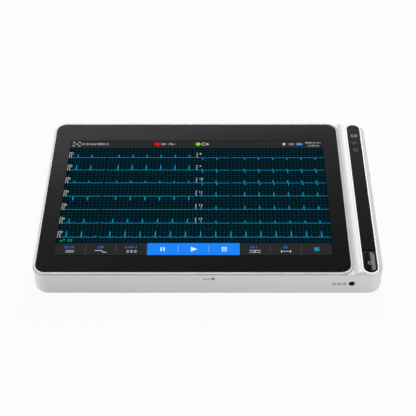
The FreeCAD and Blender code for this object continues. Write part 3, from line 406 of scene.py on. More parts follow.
def make_grain_group():
    """Height is fine noise. Tone is 1 plus the drift amount times slow noise less a half."""
    inputs = {"Grain Scale": FINE_GRAIN, "Drift Scale": SLOW_DRIFT, "Drift Amount": DRIFT_AMOUNT}
    group, entry, leave = new_group("moulded_grain", inputs, ["Height", "Tone"])
    fine = noise_on_piece(group, entry.outputs["Grain Scale"], {"Detail": FINE_DETAIL})
    slow = noise_on_piece(group, entry.outputs["Drift Scale"], {"Detail": SLOW_DETAIL})
    centred = add_node(group, "ShaderNodeMath", {1: 0.5}, "SUBTRACT")
    tone = add_node(group, "ShaderNodeMath", {2: 1.0}, "MULTIPLY_ADD")
    group.links.new(slow, centred.inputs[0])
    group.links.new(centred.outputs[0], tone.inputs[0])
    group.links.new(entry.outputs["Drift Amount"], tone.inputs[1])
    group.links.new(fine, leave.inputs["Height"])
    group.links.new(tone.outputs[0], leave.inputs["Tone"])
    return group


grain_group = make_grain_group()
print("node group:", grain_group.name, "with", len(grain_group.nodes), "nodes")

# %% [markdown]
# ## Effect: smears on a polished face
# A face that people touch mirrors sharply in some places and less so in others. Painting
# the smears would need an image, and plain noise in the roughness does as well: where the
# noise is high, the roughness goes from its clean value towards a smeared one.

# %% Smear group
SMEAR_SIZE = {"Scale": 22.0, "Clean": 0.06, "Smeared": 0.16}
SMEAR_NOISE = {"Detail": 4.0, "Distortion": 0.8}
SMEAR_RANGE = {"From Min": 0.45, "From Max": 0.8}


def make_smear_group():
    """Roughness goes from Clean to Smeared while a bent noise goes from the value where smears
    start to the value where they are full, the two ends of the range."""
    group, entry, leave = new_group("hand_smears", SMEAR_SIZE, ["Roughness"])
    noise = noise_on_piece(group, entry.outputs["Scale"], SMEAR_NOISE)
    spread = add_node(group, "ShaderNodeMapRange", SMEAR_RANGE)
    group.links.new(noise, spread.inputs["Value"])
    group.links.new(entry.outputs["Clean"], spread.inputs["To Min"])
    group.links.new(entry.outputs["Smeared"], spread.inputs["To Max"])
    group.links.new(spread.outputs["Result"], leave.inputs["Roughness"])
    return group


smear_group = make_smear_group()
print("node group:", smear_group.name, "with", len(smear_group.nodes), "nodes")

# %% [markdown]
# ## Starting a material
# A new Blender material already holds a Principled shader. Three helpers fetch it, place one of
# the effects with its own values, and multiply a colour by the drifting tone. They stand apart
# from the finishes, because the lit screen needs them too.

# %% Material helpers


def start_material(name):
    """A new material, with its node tree and its Principled shader."""
    material = bpy.data.materials.new(name)
    material.use_nodes = True
    return material, material.node_tree, material.node_tree.nodes["Principled BSDF"]


def add_group(tree, group, **values):
    """A node group placed in a material; underscores in the value names stand for spaces."""
    node = add_node(tree, "ShaderNodeGroup")
    node.node_tree = group
    for label, value in values.items():
        node.inputs[label.replace("_", " ")].default_value = value
    return node


def tint(tree, tone, colour, target):
    """A colour times a tone that drifts over the surface."""
    shade = add_node(tree, "ShaderNodeVectorMath", {0: colour[:3]}, "SCALE")
    tree.links.new(tone, shade.inputs["Scale"])
    tree.links.new(shade.outputs[0], target)


print("material helpers:", [helper.__name__ for helper in (start_material, add_group, tint)])

# %% [markdown]
# ## Finish: grained moulding
# The case, the feet and most inner mouldings are matt plastic or rubber. Such a finish is a
# function that builds a whole material round the shader: the drift tints the base colour and
# the grain goes into a bump. On the case a Bevel node also turns the normals close to an edge,
# because no moulding leaves its mould with a perfectly sharp edge.

# %% Grained moulding
GRAIN_DEPTH = 0.00002
GRAIN_STRENGTH = 0.25
TRIM_STRENGTH = 0.05
TRIM_ROUGHNESS = 0.48
RUBBER_GRAIN = 2600.0
FOAM_GRAIN = 1800.0
EDGE_SOFTNESS = 0.0005
WHITE = (0.76, 0.76, 0.755, 1.0)
TRIM_WHITE = (0.74, 0.74, 0.735, 1.0)


def grained(name, colour, roughness, scale=FINE_GRAIN, strength=GRAIN_STRENGTH, soften=0.0):
    """Matt moulding: colour times the drifting tone, a bump from the fine grain, and softened
    edges where a width for them is given."""
    material, tree, shader = start_material(name)
    shader.inputs["Roughness"].default_value = roughness
    grain = add_group(tree, grain_group, Grain_Scale=scale)
    tint(tree, grain.outputs["Tone"], colour, shader.inputs["Base Color"])
    bump = add_node(tree, "ShaderNodeBump", {"Strength": strength, "Distance": GRAIN_DEPTH})
    tree.links.new(grain.outputs["Height"], bump.inputs["Height"])
    tree.links.new(bump.outputs["Normal"], shader.inputs["Normal"])
    if soften:
        bevel = add_node(tree, "ShaderNodeBevel", {"Radius": soften})
        tree.links.new(bevel.outputs["Normal"], bump.inputs["Normal"])
    return material


# Each line has a name, a colour and a roughness, then what differs from the usual grain.
finishes = {
    "white_case": grained("satin_white_moulding", WHITE, 0.44, strength=0.18, soften=EDGE_SOFTNESS),
    "white_trim": grained("smooth_white_trim", TRIM_WHITE, TRIM_ROUGHNESS, strength=TRIM_STRENGTH),
    "socket_metal": grained("pale_socket_enamel", (0.60, 0.60, 0.595, 1.0), 0.38),
    "foot_rubber": grained("foot_rubber", (0.035, 0.035, 0.037, 1.0), 0.75, RUBBER_GRAIN, 0.5),
    "seal_foam": grained("seal_foam", (0.02, 0.02, 0.02, 1.0), 0.9, FOAM_GRAIN, 0.8),
    "adhesive": grained("adhesive_film", (0.012, 0.012, 0.012, 1.0), 0.6),
    "black_moulding": grained("black_moulding", (0.006, 0.006, 0.006, 1.0), 0.55),
    "plunger_plastic": grained("plunger_moulding", (0.04, 0.04, 0.04, 1.0), 0.45),
    "lead_sheath": grained("lead_sheath", (0.02, 0.02, 0.02, 1.0), 0.5),
}
print("grained finishes:", len(finishes))

# %% [markdown]
# ## Finish: polished faces, metal and clear plastic
# Glass, gloss plastic, film and metal differ in colour and in how sharply they mirror, so
# one function serves them all. The cover glass is black behind its border, and a black base
# under a sharp reflection gives that look with less noise than clear glass over ink. Only the
# light guides are truly clear.

# %% Polished and clear
GLOSS_DRIFT = 0.05
CLEAR_INDEX = 1.5
STRIP_BLACK = (0.004, 0.004, 0.0046, 1.0)
KEY_BLACK = (0.003, 0.003, 0.0040, 1.0)


def polished(name, colour, clean, smeared, metallic=0.0, specular=0.5):
    """Smooth face: colour times the drifting tone, and a roughness between clean and smeared."""
    material, tree, shader = start_material(name)
    shader.inputs["Metallic"].default_value = metallic
    shader.inputs["Specular IOR Level"].default_value = specular
    smear = add_group(tree, smear_group, Clean=clean, Smeared=smeared)
    tree.links.new(smear.outputs["Roughness"], shader.inputs["Roughness"])
    grain = add_group(tree, grain_group, Drift_Amount=GLOSS_DRIFT)
    tint(tree, grain.outputs["Tone"], colour, shader.inputs["Base Color"])
    return material


def clear(name, colour, clean, smeared):
    """The polished finish with light going through it."""
    material = polished(name, colour, clean, smeared)
    shader = material.node_tree.nodes["Principled BSDF"]
    shader.inputs["IOR"].default_value = CLEAR_INDEX
    shader.inputs["Transmission Weight"].default_value = 1.0
    return material


# Each line has a name, a colour, the roughness where clean and the roughness where smeared.
finishes |= {
    "cover_glass": polished("black_backed_glass", (0.009, 0.009, 0.0096, 1.0), 0.015, 0.04),
    "display": polished("display_panel_black", (0.004, 0.004, 0.004, 1.0), 0.3, 0.4),
    "strip_gloss": polished("black_strip_gloss", STRIP_BLACK, 0.03, 0.06, specular=0.72),
    "key_gloss": polished("black_key_gloss", KEY_BLACK, 0.09, 0.14, specular=0.36),
    "board_green": polished("board_resist", (0.012, 0.10, 0.04, 1.0), 0.25, 0.4),
    "flex_amber": polished("flex_film", (0.32, 0.12, 0.012, 1.0), 0.25, 0.35),
    "battery_wrap": polished("battery_film", (0.02, 0.035, 0.08, 1.0), 0.25, 0.4),
    "sheet_steel": polished("tinned_sheet", (0.62, 0.62, 0.63, 1.0), 0.28, 0.42, metallic=1.0),
    "screw_steel": polished("zinc_screws", (0.52, 0.52, 0.53, 1.0), 0.25, 0.40, metallic=1.0),
    "standoff_brass": polished("turned_brass", (0.62, 0.42, 0.13, 1.0), 0.22, 0.35, metallic=1.0),
    "light_guide": clear("light_guide_clear", (0.95, 0.95, 0.93, 1.0), 0.06, 0.12),
}
print("all finishes:", len(finishes))

# %% [markdown]
# ## Dress the CAD pieces
# The record names a material slot for each CAD piece. Going through that list once dresses
# them all, and a piece that has no finish would stop the script here. The ring round the strip
# is lit by both lamps at the back, so it has a greyer white of its own that doesn't bleach.

# %% Dress the nodes
STRIP_WHITE = (0.66, 0.66, 0.655, 1.0)
strip_trim = grained("satin_strip_trim", STRIP_WHITE, TRIM_ROUGHNESS, strength=TRIM_STRENGTH)
OWN_FINISHES = {"spine_trim": strip_trim}


def dress_nodes():
    """A node's own finish, or else the finish of its slot."""
    for row in frame["record"]["subparts"]:
        materials = frame["nodes"][row["node"]].data.materials
        materials.clear()
        materials.append(OWN_FINISHES.get(row["node"], finishes[row["material_slot"]]))


dress_nodes()

# %% [markdown]
# ## Surfaces on a grid
# A new solid piece here is a surface worked out with numpy: places on a grid of two
# parameters, joined by quads. Where the first and last row or column meet, or a whole row
# shrinks to one point, the doubles are welded, so that the piece is closed and its normals
# can be turned outwards.

# %% Grid surfaces
BODY = "console"
WELD = 1e-7


def grid_faces(rows, columns):
    """Quads between neighbouring points of a rows by columns grid, row after row."""
    r, c = np.meshgrid(np.arange(rows - 1), np.arange(columns - 1), indexing="ij")
    first = (r * columns + c).ravel()
    return np.stack([first, first + 1, first + columns + 1, first + columns], axis=1)


def weld(mesh):
    """Merge doubles, then turn all normals outwards."""
    shape = bmesh.new()
    shape.from_mesh(mesh)
    bmesh.ops.remove_doubles(shape, verts=shape.verts, dist=WELD)
    bmesh.ops.recalc_face_normals(shape, faces=shape.faces)
    shape.to_mesh(mesh)
    shape.free()


def surface(name, grids, material):
    """One smooth piece from grids of places that all have the same number of rows and columns."""
    places = np.stack(grids)
    count, rows, columns = places.shape[:3]
    starts = np.arange(count)[:, None, None] * rows * columns
    faces = (grid_faces(rows, columns) + starts).reshape(-1, 4)
    mesh = bpy.data.meshes.new(name)
    mesh.from_pydata(places.reshape(-1, 3).tolist(), [], faces.tolist())
    weld(mesh)
    mesh.materials.append(material)
    mesh.shade_smooth()
    piece = bpy.data.objects.new(name, mesh)
    bpy.context.scene.collection.objects.link(piece)
    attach(piece, BODY)
    print(name, "faces:", len(mesh.polygons))
    return piece


print("a grid of 3 by 4 points has", len(grid_faces(3, 4)), "quads")

# %% [markdown]
# ## Seal under the bezel, and painted shade in its groove
# Between the bezel and the case lies a thin rubber seal, and its lip shows as a fine grey
# line all round the glass. That grey is partly the seal's own colour and partly painted shade:
# it stands in for the shadow in the groove under the bezel. A bevelled curve could make it, but
# a sweep by formula stays exact at the corners: a rounded rectangle that grows keeps the centres
# of its corners, and only their radius grows. So each profile point gives one ring, larger by
# its first value and higher by its second. Beside the spine the lip reaches a little further
# out, as painted shadow: it fills the groove between the bezel and the rising flank, where the
# shade falls.

# %% Bezel seal
# The seal's grey is partly its own colour and partly painted shade, the shadow in the groove under
# the bezel.
SEAL_AND_SHADE_GREY = 190
SEAL_ROUGHNESS = 0.7
SEAL_STRENGTH = 0.4
SEAL_FOOT = 22.8 * MM
GLASS_CORNER = 8.0 * MM
CORNER_STEPS = 16
LIP_FROM = 1.5 * MM
# The wider lip beside the spine is painted shadow: it fills the groove by the flank where shade
# falls.
SPINE_SHADOW_LIP = 0.4 * MM
SEAL_PROFILE = (
    (0.95, 0.0), (1.98, 0.0), (2.08, 0.08), (2.10, 0.16),
    (2.06, 0.26), (1.94, 0.32), (0.95, 0.32), (0.95, 0.0),
)
glass_low, glass_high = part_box("cover_glass")


def carried_round_glass(profile):
    """Corner centre plus corner radius grown by the profile, times cosine and sine, four quarters
    in turn. Points of the lip go out further by the spine's shadow lip, which is painted shade,
    times a positive cosine."""
    outwards, up = np.array(profile).T * MM
    quarter = np.repeat(np.arange(4), CORNER_STEPS)
    angle = np.tile(np.linspace(0, np.pi / 2, CORNER_STEPS), 4) + quarter * np.pi / 2
    angle, quarter = np.append(angle, 0.0), np.append(quarter, 0)
    right, back = (quarter == 0) | (quarter == 3), quarter < 2
    centre_x = np.where(right, glass_high.x - GLASS_CORNER, glass_low.x + GLASS_CORNER)
    centre_y = np.where(back, glass_high.y - GLASS_CORNER, glass_low.y + GLASS_CORNER)
    lip = np.where(outwards > LIP_FROM, SPINE_SHADOW_LIP, 0.0)[:, None] * np.maximum(np.cos(angle), 0.0)
    radius = GLASS_CORNER + outwards[:, None] + lip
    x, y = centre_x + radius * np.cos(angle), centre_y + radius * np.sin(angle)
    return np.stack([x, y, np.broadcast_to(SEAL_FOOT + up[:, None], x.shape)], axis=-1)


# The seal and its grey lip: a rubber seal, and painted shade in the groove round the glass.
seal_and_shade_grey = grey(SEAL_AND_SHADE_GREY)
seal_and_shade_finish = grained("grey_seal_and_painted_shade", seal_and_shade_grey, SEAL_ROUGHNESS, RUBBER_GRAIN, SEAL_STRENGTH)
surface("bezel_seal_and_shadow_line", [carried_round_glass(SEAL_PROFILE)], seal_and_shade_finish)

# %% [markdown]
# ## Sleeves in the front wall
# The hole for the supply plug and the reset pinhole are lined by dark sleeves that end flush
# with the front wall. A tube with Solidify would do, but a lathe shape also rounds the edge of
# the mouth: a profile is carried round an axis, where each profile point has a radius and a
# depth, and the angle is the second parameter. The thin rings keep the holes open.

# %% Mouth sleeves
TURN_STEPS = 96
SLEEVE_GREY = (0.30, 0.30, 0.302, 1.0)
SLEEVE_ROUGHNESS = 0.35
INLET_PROFILE = (
    (2.485, 2.2), (2.485, 0.10), (2.465, 0.03), (2.43, 0.03), (2.40, 0.10), (2.40, 2.2),
    (2.485, 2.2),
)
PINHOLE_PROFILE = (
    (0.745, 2.1), (0.745, 0.08), (0.735, 0.03), (0.705, 0.03), (0.69, 0.08), (0.69, 2.1),
    (0.745, 2.1),
)
case_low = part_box("main_case")[0]


def turned(profile):
    """Radius times cosine, radius times sine and height, for each profile point and each angle."""
    radius, height = np.array(profile, float).T[:, :, None] * MM
    angle = np.linspace(0, 2 * np.pi, TURN_STEPS + 1)
    places = np.broadcast_arrays(radius * np.cos(angle), radius * np.sin(angle), height)
    return np.stack(places, axis=-1)


def mouth_grid(profile, node):
    """The turned profile laid on its side, on the axis of a CAD piece, with its depth going back
    from the front wall."""
    low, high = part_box(node)
    middle_x, middle_z = (low.x + high.x) / 2, (low.z + high.z) / 2
    across, up, depth = np.moveaxis(turned(profile), -1, 0)
    print(node, "axis in mm:", round(middle_x / MM, 3), round(middle_z / MM, 3))
    return np.stack([middle_x + across, case_low.y + depth, middle_z + up], axis=-1)


sleeve = grained("inlet_sleeve", SLEEVE_GREY, SLEEVE_ROUGHNESS)
black = finishes["black_moulding"]
surface("inlet_mouth", [mouth_grid(INLET_PROFILE, "dc_pin")], sleeve)
surface("pinhole_mouth", [mouth_grid(PINHOLE_PROFILE, "reset_plunger")], black)

# %% [markdown]
# ## Case screws: the turned form
# Six screws hold the cover under the case. Their heads are pan heads, a shallow dome with a
# rounded rim, on a plain shank with a chamfered end. The profile is worked out in pieces and
# goes to the same lathe function as the sleeves.

# %% Screw profile
HEAD_RADIUS = 2.5
HEAD_HEIGHT = 1.0
HEAD_DOME = 0.12
RIM_ROUND = 0.4
FACE_RADIUS = HEAD_RADIUS - RIM_ROUND
FACE_STEPS = 24
RIM_STEPS = 6
SHANK_RADIUS = 1.15
SHANK_CHAMFER = 0.3
screw_low, screw_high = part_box("case_screws")


def screw_profile():
    """Radius and height: a parabola from the middle of the face, a quarter circle at the rim,
    then straight runs down the shank."""
    face = np.linspace(0.0, FACE_RADIUS, FACE_STEPS)
    bend = np.linspace(0.0, np.pi / 2, RIM_STEPS)[1:]
    dome = HEAD_DOME * ((face / HEAD_RADIUS) ** 2 - 1.0)
    rim_height = dome[-1] + RIM_ROUND * (1 - np.cos(bend))
    rim = np.stack([FACE_RADIUS + RIM_ROUND * np.sin(bend), rim_height], axis=1)
    tip = (screw_high.z - screw_low.z) / MM
    stem = [
        (HEAD_RADIUS, HEAD_HEIGHT), (SHANK_RADIUS, HEAD_HEIGHT),
        (SHANK_RADIUS, tip - SHANK_CHAMFER), (SHANK_RADIUS - SHANK_CHAMFER, tip), (0.0, tip),
    ]
    return np.vstack([np.stack([face, dome], axis=1), rim, stem])


print("points in the screw's profile:", len(screw_profile()))

# %% [markdown]
# ## Case screws: the cross recess
# Each head has a cross for the driver. A cutter and a boolean would also give it, but it fits
# in the lathe formula: where a point of the head's face lies in the cross, it is pushed into
# the head, with a smooth step at the edge of the cross. The finished screws stand for the
# plain ones of the CAD model.

# %% Cross recess
CROSS_HALF = 0.34
CROSS_REACH = 1.45
CROSS_DEPTH = 0.7
CROSS_SLOPE = 0.16
SCREW_COLUMNS = 3


def smooth_step(value):
    """0 below zero, 1 above the cross's slope, and between them 3 t squared less 2 t cubed."""
    t = np.clip(value / CROSS_SLOPE, 0.0, 1.0)
    return t * t * (3 - 2 * t)


def recessed_screw():
    """The turned screw, with the face points near an axis and near the middle pushed in by the
    cross's depth."""
    x, y, z = np.moveaxis(turned(screw_profile()) / MM, -1, 0)
    arms = smooth_step(CROSS_HALF + CROSS_SLOPE - np.minimum(abs(x), abs(y)))
    reach = smooth_step(CROSS_REACH - np.hypot(x, y))
    face = z < HEAD_HEIGHT / 2
    return np.stack([x, y, z + CROSS_DEPTH * arms * reach * face], axis=-1) * MM


def screw_grids():
    """The same screw at the columns and rows that the CAD box of the screws gives."""
    inset = HEAD_RADIUS * MM
    columns = np.linspace(screw_low.x + inset, screw_high.x - inset, SCREW_COLUMNS)
    rows = (screw_low.y + inset, screw_high.y - inset)
    return [recessed_screw() + np.array([x, y, screw_low.z]) for x in columns for y in rows]


screws = surface("cross_head_screws", screw_grids(), finishes["screw_steel"])
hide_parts("case_screws")

# %% [markdown]
# ## Flat marks: ribbons
# The screen and the printed signs are thin flat marks. Image textures would blur close up, so
# each mark is a patch of real faces: an array of points in a plane, in millimetres, and an
# array of faces. A ribbon carries a short cross line along a path, and it draws every line,
# wave and ring below.

# %% Ribbons
RING_POINTS = 32
SHARPEST_COSINE = 0.5


def ribbon(points, width):
    """A line with width: each point goes half a width along the mean normal of its two runs,
    divided by the cosine of half the turn, so that the ribbon keeps its width round corners."""
    path = np.array(points, float)
    runs = np.diff(path, axis=0)
    runs /= np.linalg.norm(runs, axis=1)[:, None]
    normals = np.stack([-runs[:, 1], runs[:, 0]], axis=1)
    before, after = np.vstack([normals[:1], normals]), np.vstack([normals, normals[-1:]])
    mean = before + after
    mean /= np.linalg.norm(mean, axis=1)[:, None]
    reach = width / 2 / np.clip((mean * before).sum(axis=1), SHARPEST_COSINE, 1.0)
    side = mean * reach[:, None]
    points = np.stack([path - side, path + side], axis=1).reshape(-1, 2)
    return points, grid_faces(len(path), 2)[:, ::-1]


def arc(x, y, radius, start, end, count):
    """Points on a circle between two angles in degrees: the middle plus the radius times the
    cosine and the sine."""
    angle = np.radians(np.linspace(start, end, count))
    return np.stack([x + radius * np.cos(angle), y + radius * np.sin(angle)], axis=1)


def bow(x, y, radius, start, end, width, count=RING_POINTS):
    """Part of a ring: a ribbon along an arc."""
    return ribbon(arc(x, y, radius, start, end, count), width)


print("a ring of", RING_POINTS, "points has", len(bow(0, 0, 1, 0, 360, 0.1)[1]), "faces")

# %% [markdown]
# ## Flat marks: fills
# A filled shape is a fan, which joins an outline to its middle, or a plain rectangle. Signs
# that are all bars are kept as small tables, with one row for each rectangle.

# %% Fills
DISC_POINTS = 24


def fan(outline):
    """A filled shape that its middle can see all of: triangles from the middle to each edge."""
    rim = np.array(outline, float)
    first = np.arange(len(rim))
    faces = np.stack([first, np.roll(first, -1), np.full(len(rim), len(rim))], axis=1)
    return np.vstack([rim, rim.mean(axis=0)]), faces


def disc(x, y, radius):
    """A filled circle: a fan on a full arc, less its last point, which is its first again."""
    return fan(arc(x, y, radius, 0, 360, DISC_POINTS + 1)[:-1])


def panel(x, y, width, height):
    """A rectangle with its lower left corner at x, y."""
    corners = np.array([[x, y], [x + width, y], [x + width, y + height], [x, y + height]])
    return corners, np.array([[0, 1, 2, 3]])


def panels(rows, x, y):
    """Rectangles from rows of left, foot, width and height, all moved by x and y."""
    return [panel(x + left, y + foot, width, height) for left, foot, width, height in rows]


def frame_lines(x, y, width, height, line):
    """The outline of a rectangle as four bars."""
    return [
        panel(x, y, width, line),
        panel(x, y + height - line, width, line),
        panel(x, y + line, line, height - 2 * line),
        panel(x + width - line, y + line, line, height - 2 * line),
    ]


print("a disc has", len(disc(0, 0, 1)[1]), "triangles")

# %% [markdown]
# ## Figures
# Digits could be drawn from arcs and bars, but Blender's own font already has them. A text
# object is made, turned into a mesh, and thrown away again; only its points and triangles are
# kept, as one more patch.

# %% Figures
CAPITAL_SHARE = 0.7
FIGURE_CURVE = 2


def figures(text, x, y, height):
    """A line of figures as a patch, its lower left corner at x, y: font points times the height
    wanted over the height of a capital."""
    curve = bpy.data.curves.new("figures", "FONT")
    curve.body = text
    curve.resolution_u = FIGURE_CURVE
    maker = bpy.data.objects.new("figures", curve)
    bpy.context.scene.collection.objects.link(maker)
    bpy.context.view_layer.update()
    made = maker.evaluated_get(bpy.context.evaluated_depsgraph_get())
    mesh = bpy.data.meshes.new_from_object(made)
    mesh.calc_loop_triangles()
    places = np.zeros(len(mesh.vertices) * 3)
    mesh.vertices.foreach_get("co", places)
    triangles = np.zeros(len(mesh.loop_triangles) * 3, dtype=np.int32)
    mesh.loop_triangles.foreach_get("vertices", triangles)
    bpy.data.objects.remove(maker)
    bpy.data.curves.remove(curve)
    bpy.data.meshes.remove(mesh)
    points = places.reshape(-1, 3)[:, :2] * height / CAPITAL_SHARE + np.array([x, y])
    return points, triangles.reshape(-1, 3)


print("triangles in a 0:", len(figures("0", 0, 0, 1.0)[1]))

# %% [markdown]
# ## Laying marks on the machine
# All marks of one colour become one mesh. A function turns plane points into places on the
# machine, a hair above the face that carries them, and the mesh rides on that face's body.

# %% Lay marks


def join(patches):
    """All points in one array and all faces in one list, where the faces of a patch count on from
    the points of the patches before it."""
    starts = np.cumsum([0] + [len(points) for points, _ in patches])
    faces = [face for (_, rows), start in zip(patches, starts) for face in (rows + start).tolist()]
    return np.vstack([points for points, _ in patches]), faces


def lay(name, patches, onto, material, body=BODY):
    """One flat piece; onto turns plane points into places."""
    points, faces = join(patches)
    mesh = bpy.data.meshes.new(name)
    mesh.from_pydata(onto(points).tolist(), [], faces)
    mesh.materials.append(material)
    piece = bpy.data.objects.new(name, mesh)
    bpy.context.scene.collection.objects.link(piece)
    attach(piece, body)
    print(name, "faces:", len(faces))


print("two panels joined:", len(join([panel(0, 0, 1, 1), panel(2, 0, 1, 1)])[0]), "points")

# %% [markdown]
# ## The lit screen
# A display gives its own light, so each colour is an emission at its true level, uneven by a
# few hundredths as a backlight is. The picture lies like a thin anti-glare film on the face of
# the glass: behind clear glass it would wash out under the lamps, while on the film dark parts
# stay dark. The layout is in millimetres right and up from the screen's top left corner.

# %% Screen layout
BACKLIGHT_SCALE = 9.0
BACKLIGHT_DRIFT = 0.08
BLACK = (0.0, 0.0, 0.0, 1.0)
FILM_ROUGHNESS = 0.6
SCREEN_INSETS = {"left": 5.85 * MM, "right": 6.65 * MM, "front": 9.3 * MM, "back": 4.95 * MM}
LAYER = 0.02 * MM
# Layers above the glass, from the dark field up to the signs on the buttons.
FIELD, LOW, MIDDLE, HIGH, TOP = range(5)
lcd_low, lcd_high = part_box("lcd_panel")
screen_left = lcd_low.x + SCREEN_INSETS["left"]
screen_back = lcd_high.y - SCREEN_INSETS["back"]
SCREEN_WIDTH = (lcd_high.x - SCREEN_INSETS["right"] - screen_left) / MM
SCREEN_HEIGHT = (screen_back - lcd_low.y - SCREEN_INSETS["front"]) / MM
print("screen in mm:", round(SCREEN_WIDTH, 2), "by", round(SCREEN_HEIGHT, 2))


def glowing(name, colour):
    """A colour that shines by itself, times the drifting tone."""
    material, tree, shader = start_material(name)
    shader.inputs["Base Color"].default_value = BLACK
    shader.inputs["Specular IOR Level"].default_value = 0.0
    shader.inputs["Roughness"].default_value = FILM_ROUGHNESS
    shader.inputs["Emission Strength"].default_value = 1.0
    grain = add_group(tree, grain_group, Drift_Scale=BACKLIGHT_SCALE, Drift_Amount=BACKLIGHT_DRIFT)
    tint(tree, grain.outputs["Tone"], colour, shader.inputs["Emission Color"])
    return material


def screen_piece(name, patches, layer, colour):
    """Marks on the glass, each layer a little above the one under it."""
    level = glass_high.z + (layer + 1) * LAYER

    def onto(points):
        """Millimetres right and up from the screen's top left corner, at the layer's height."""
        x, y = points.T * MM
        return np.stack([screen_left + x, screen_back + y, np.full(len(points), level)], axis=1)

    lay(name, patches, onto, glowing(name + "_light", colour))


# %% [markdown]
# ## Bars and buttons
# A dark field fills the screen, a grey bar runs along its top and another along its foot. The
# foot bar is split into nine cells by thin lines, and its three middle cells are one blue
# block. Plain rectangles are enough, one layer above the other. They end a little short of the
# field, which leaves the thin unlit edge that a display has.

# %% Bars and buttons
FIELD_TEAL = paint(2, 19, 26)
BAR_GREY = grey(43)
BUTTON_BLUE = paint(29, 132, 250)
BLUE_LINE = paint(110, 180, 255)
DARK_LINE = grey(72)
HEADER = 9.9
FOOTER = 12.7
UNLIT_EDGE = 0.5
UNLIT_END = 0.75
FOOTER_WIDTH = SCREEN_WIDTH - UNLIT_END
WAVE_TOP = -HEADER
WAVE_BOTTOM = FOOTER - SCREEN_HEIGHT
WAVES = WAVE_TOP - WAVE_BOTTOM
FOOT = -SCREEN_HEIGHT
CELLS = 9
CELL = FOOTER_WIDTH / CELLS
BLUE_CELLS = (3, 4, 5)
DIVIDER = 0.45
DIVIDER_MARGIN = 2.6


def divider(index):
    """The thin line at the left edge of a cell."""
    left, foot = index * CELL - DIVIDER / 2, FOOT + DIVIDER_MARGIN
    return panel(left, foot, DIVIDER, FOOTER - 2 * DIVIDER_MARGIN)


def make_bars():
    """Rectangles: the field, the two bars, the blue block, and the lines between cells."""
    first, last = BLUE_CELLS[0], BLUE_CELLS[-1] + 1
    field = panel(0, FOOT - UNLIT_EDGE, SCREEN_WIDTH, SCREEN_HEIGHT + UNLIT_EDGE)
    top = panel(0, WAVE_TOP, SCREEN_WIDTH, HEADER - UNLIT_EDGE)
    foot = panel(0, FOOT, FOOTER_WIDTH, FOOTER)
    blue = panel(first * CELL, FOOT, (last - first) * CELL, FOOTER)
    in_blue = [divider(index) for index in range(first + 1, last)]
    in_dark = [divider(index) for index in range(1, CELLS) if not first <= index <= last]
    screen_piece("screen_dark", [field], FIELD, FIELD_TEAL)
    screen_piece("screen_bars", [top, foot], LOW, BAR_GREY)
    screen_piece("blue_buttons", [blue], MIDDLE, BUTTON_BLUE)
    screen_piece("blue_dividers", in_blue, HIGH, BLUE_LINE)
    screen_piece("dark_dividers", in_dark, HIGH, DARK_LINE)


make_bars()

# %% [markdown]
# ## Chart paper
# Behind the traces is a square grid, as on the paper of a chart recorder. A procedural grid in
# the shader would flicker when seen from afar, so each line is a narrow panel.

# %% Chart paper
GRID_TEAL = paint(11, 48, 60)
GRID_CELLS = 69
GRID_PITCH = SCREEN_WIDTH / GRID_CELLS
GRID_LINE = 0.5


def make_grid():
    """Lines at whole steps of the pitch, right from the left edge and down from the top bar."""
    across = np.arange(1, GRID_CELLS) * GRID_PITCH - GRID_LINE / 2
    down = WAVE_TOP - np.arange(1, WAVES // GRID_PITCH + 1) * GRID_PITCH - GRID_LINE / 2
    lines = [panel(x, WAVE_BOTTOM, GRID_LINE, WAVES) for x in across]
    lines += [panel(0, y, SCREEN_WIDTH, GRID_LINE) for y in down]
    screen_piece("wave_grid", lines, LOW, GRID_TEAL)


make_grid()

# %% [markdown]
# ## One heart beat
# One heart beat is a sum of bells: a low P wave, the sharp R spike with the S dip after it,
# and a rounded T wave. A curve drawn by hand would fit one row only, while a formula serves
# them all: each lead scales it by the height of its spike and the depth of its dip.

# %% Heart beat
SMALL_WAVE = 0.13
BELLS = {"P": (-0.17, 0.04), "R": (0.0, 0.022), "S": (0.045, 0.025), "T": (0.30, 0.06)}


def heart_beat(t, up, down):
    """Height at time t in beats: for each wave its height times e to the power of minus the square
    of the distance from its centre over its width, added up."""
    small = SMALL_WAVE * (up - down)
    heights = np.array([small, up, -down, small])[:, None]
    centres, widths = np.array(list(BELLS.values())).T[:, :, None]
    return (heights * np.exp(-(((t - centres) / widths) ** 2))).sum(axis=0)


print("height of a beat at its spike:", round(float(heart_beat(0.0, 1.0, 0.0)[0]), 3))

# %% [markdown]
# ## Swept rows
# A row is a ribbon along the beat, repeated at a steady pitch. The screen is drawn over from
# left to right, so a row has new beats up to the sweep, a short gap, and old beats after it.
# The formula is sampled at short steps, which keep the narrow spike sharp.

# %% Swept rows
TRACE_LINE = 0.4
TRACE_STEP = 0.12
BEAT = 11.92
SWEEP_GAP = 1.5
ROWS_IN_FIELD = 7.2
ROW_PITCH = WAVES / ROWS_IN_FIELD
ROW_FIRST = 12.35


def trace(start, end, base, lead, beat):
    """A stretch of one row: the distance from the nearest beat is the time, and the beat's formula
    gives the height above the base."""
    x = np.linspace(start, end, int((end - start) / TRACE_STEP))
    t = (x - beat) / BEAT
    y = base + heart_beat(t - np.floor(t + 0.5), *lead)
    return ribbon(np.stack([x, y], axis=1), TRACE_LINE)


def swept_row(column, base, lead):
    """One row in two stretches, new beats up to the sweep and old ones after its gap."""
    old_start = column["sweep"] + SWEEP_GAP
    return [
        trace(column["start"], column["sweep"], base, lead, column["new_beat"]),
        trace(old_start, column["end"], base, lead, column["old_beat"]),
    ]


def row_base(row):
    """Height of a row's base line: whole pitches down from the first."""
    return WAVE_TOP - ROW_FIRST - row * ROW_PITCH


print("row pitch in mm:", round(ROW_PITCH, 2))

# %% [markdown]
# ## Twelve leads and the rhythm
# Six rows stand on each half of the screen, over one long row that runs the whole width. A
# column says where its rows start and end, where the sweep is, and where one new and one old
# beat stand. A lead has the height of its spike and the depth of its dip. With such tables,
# another recording is only a matter of other numbers.

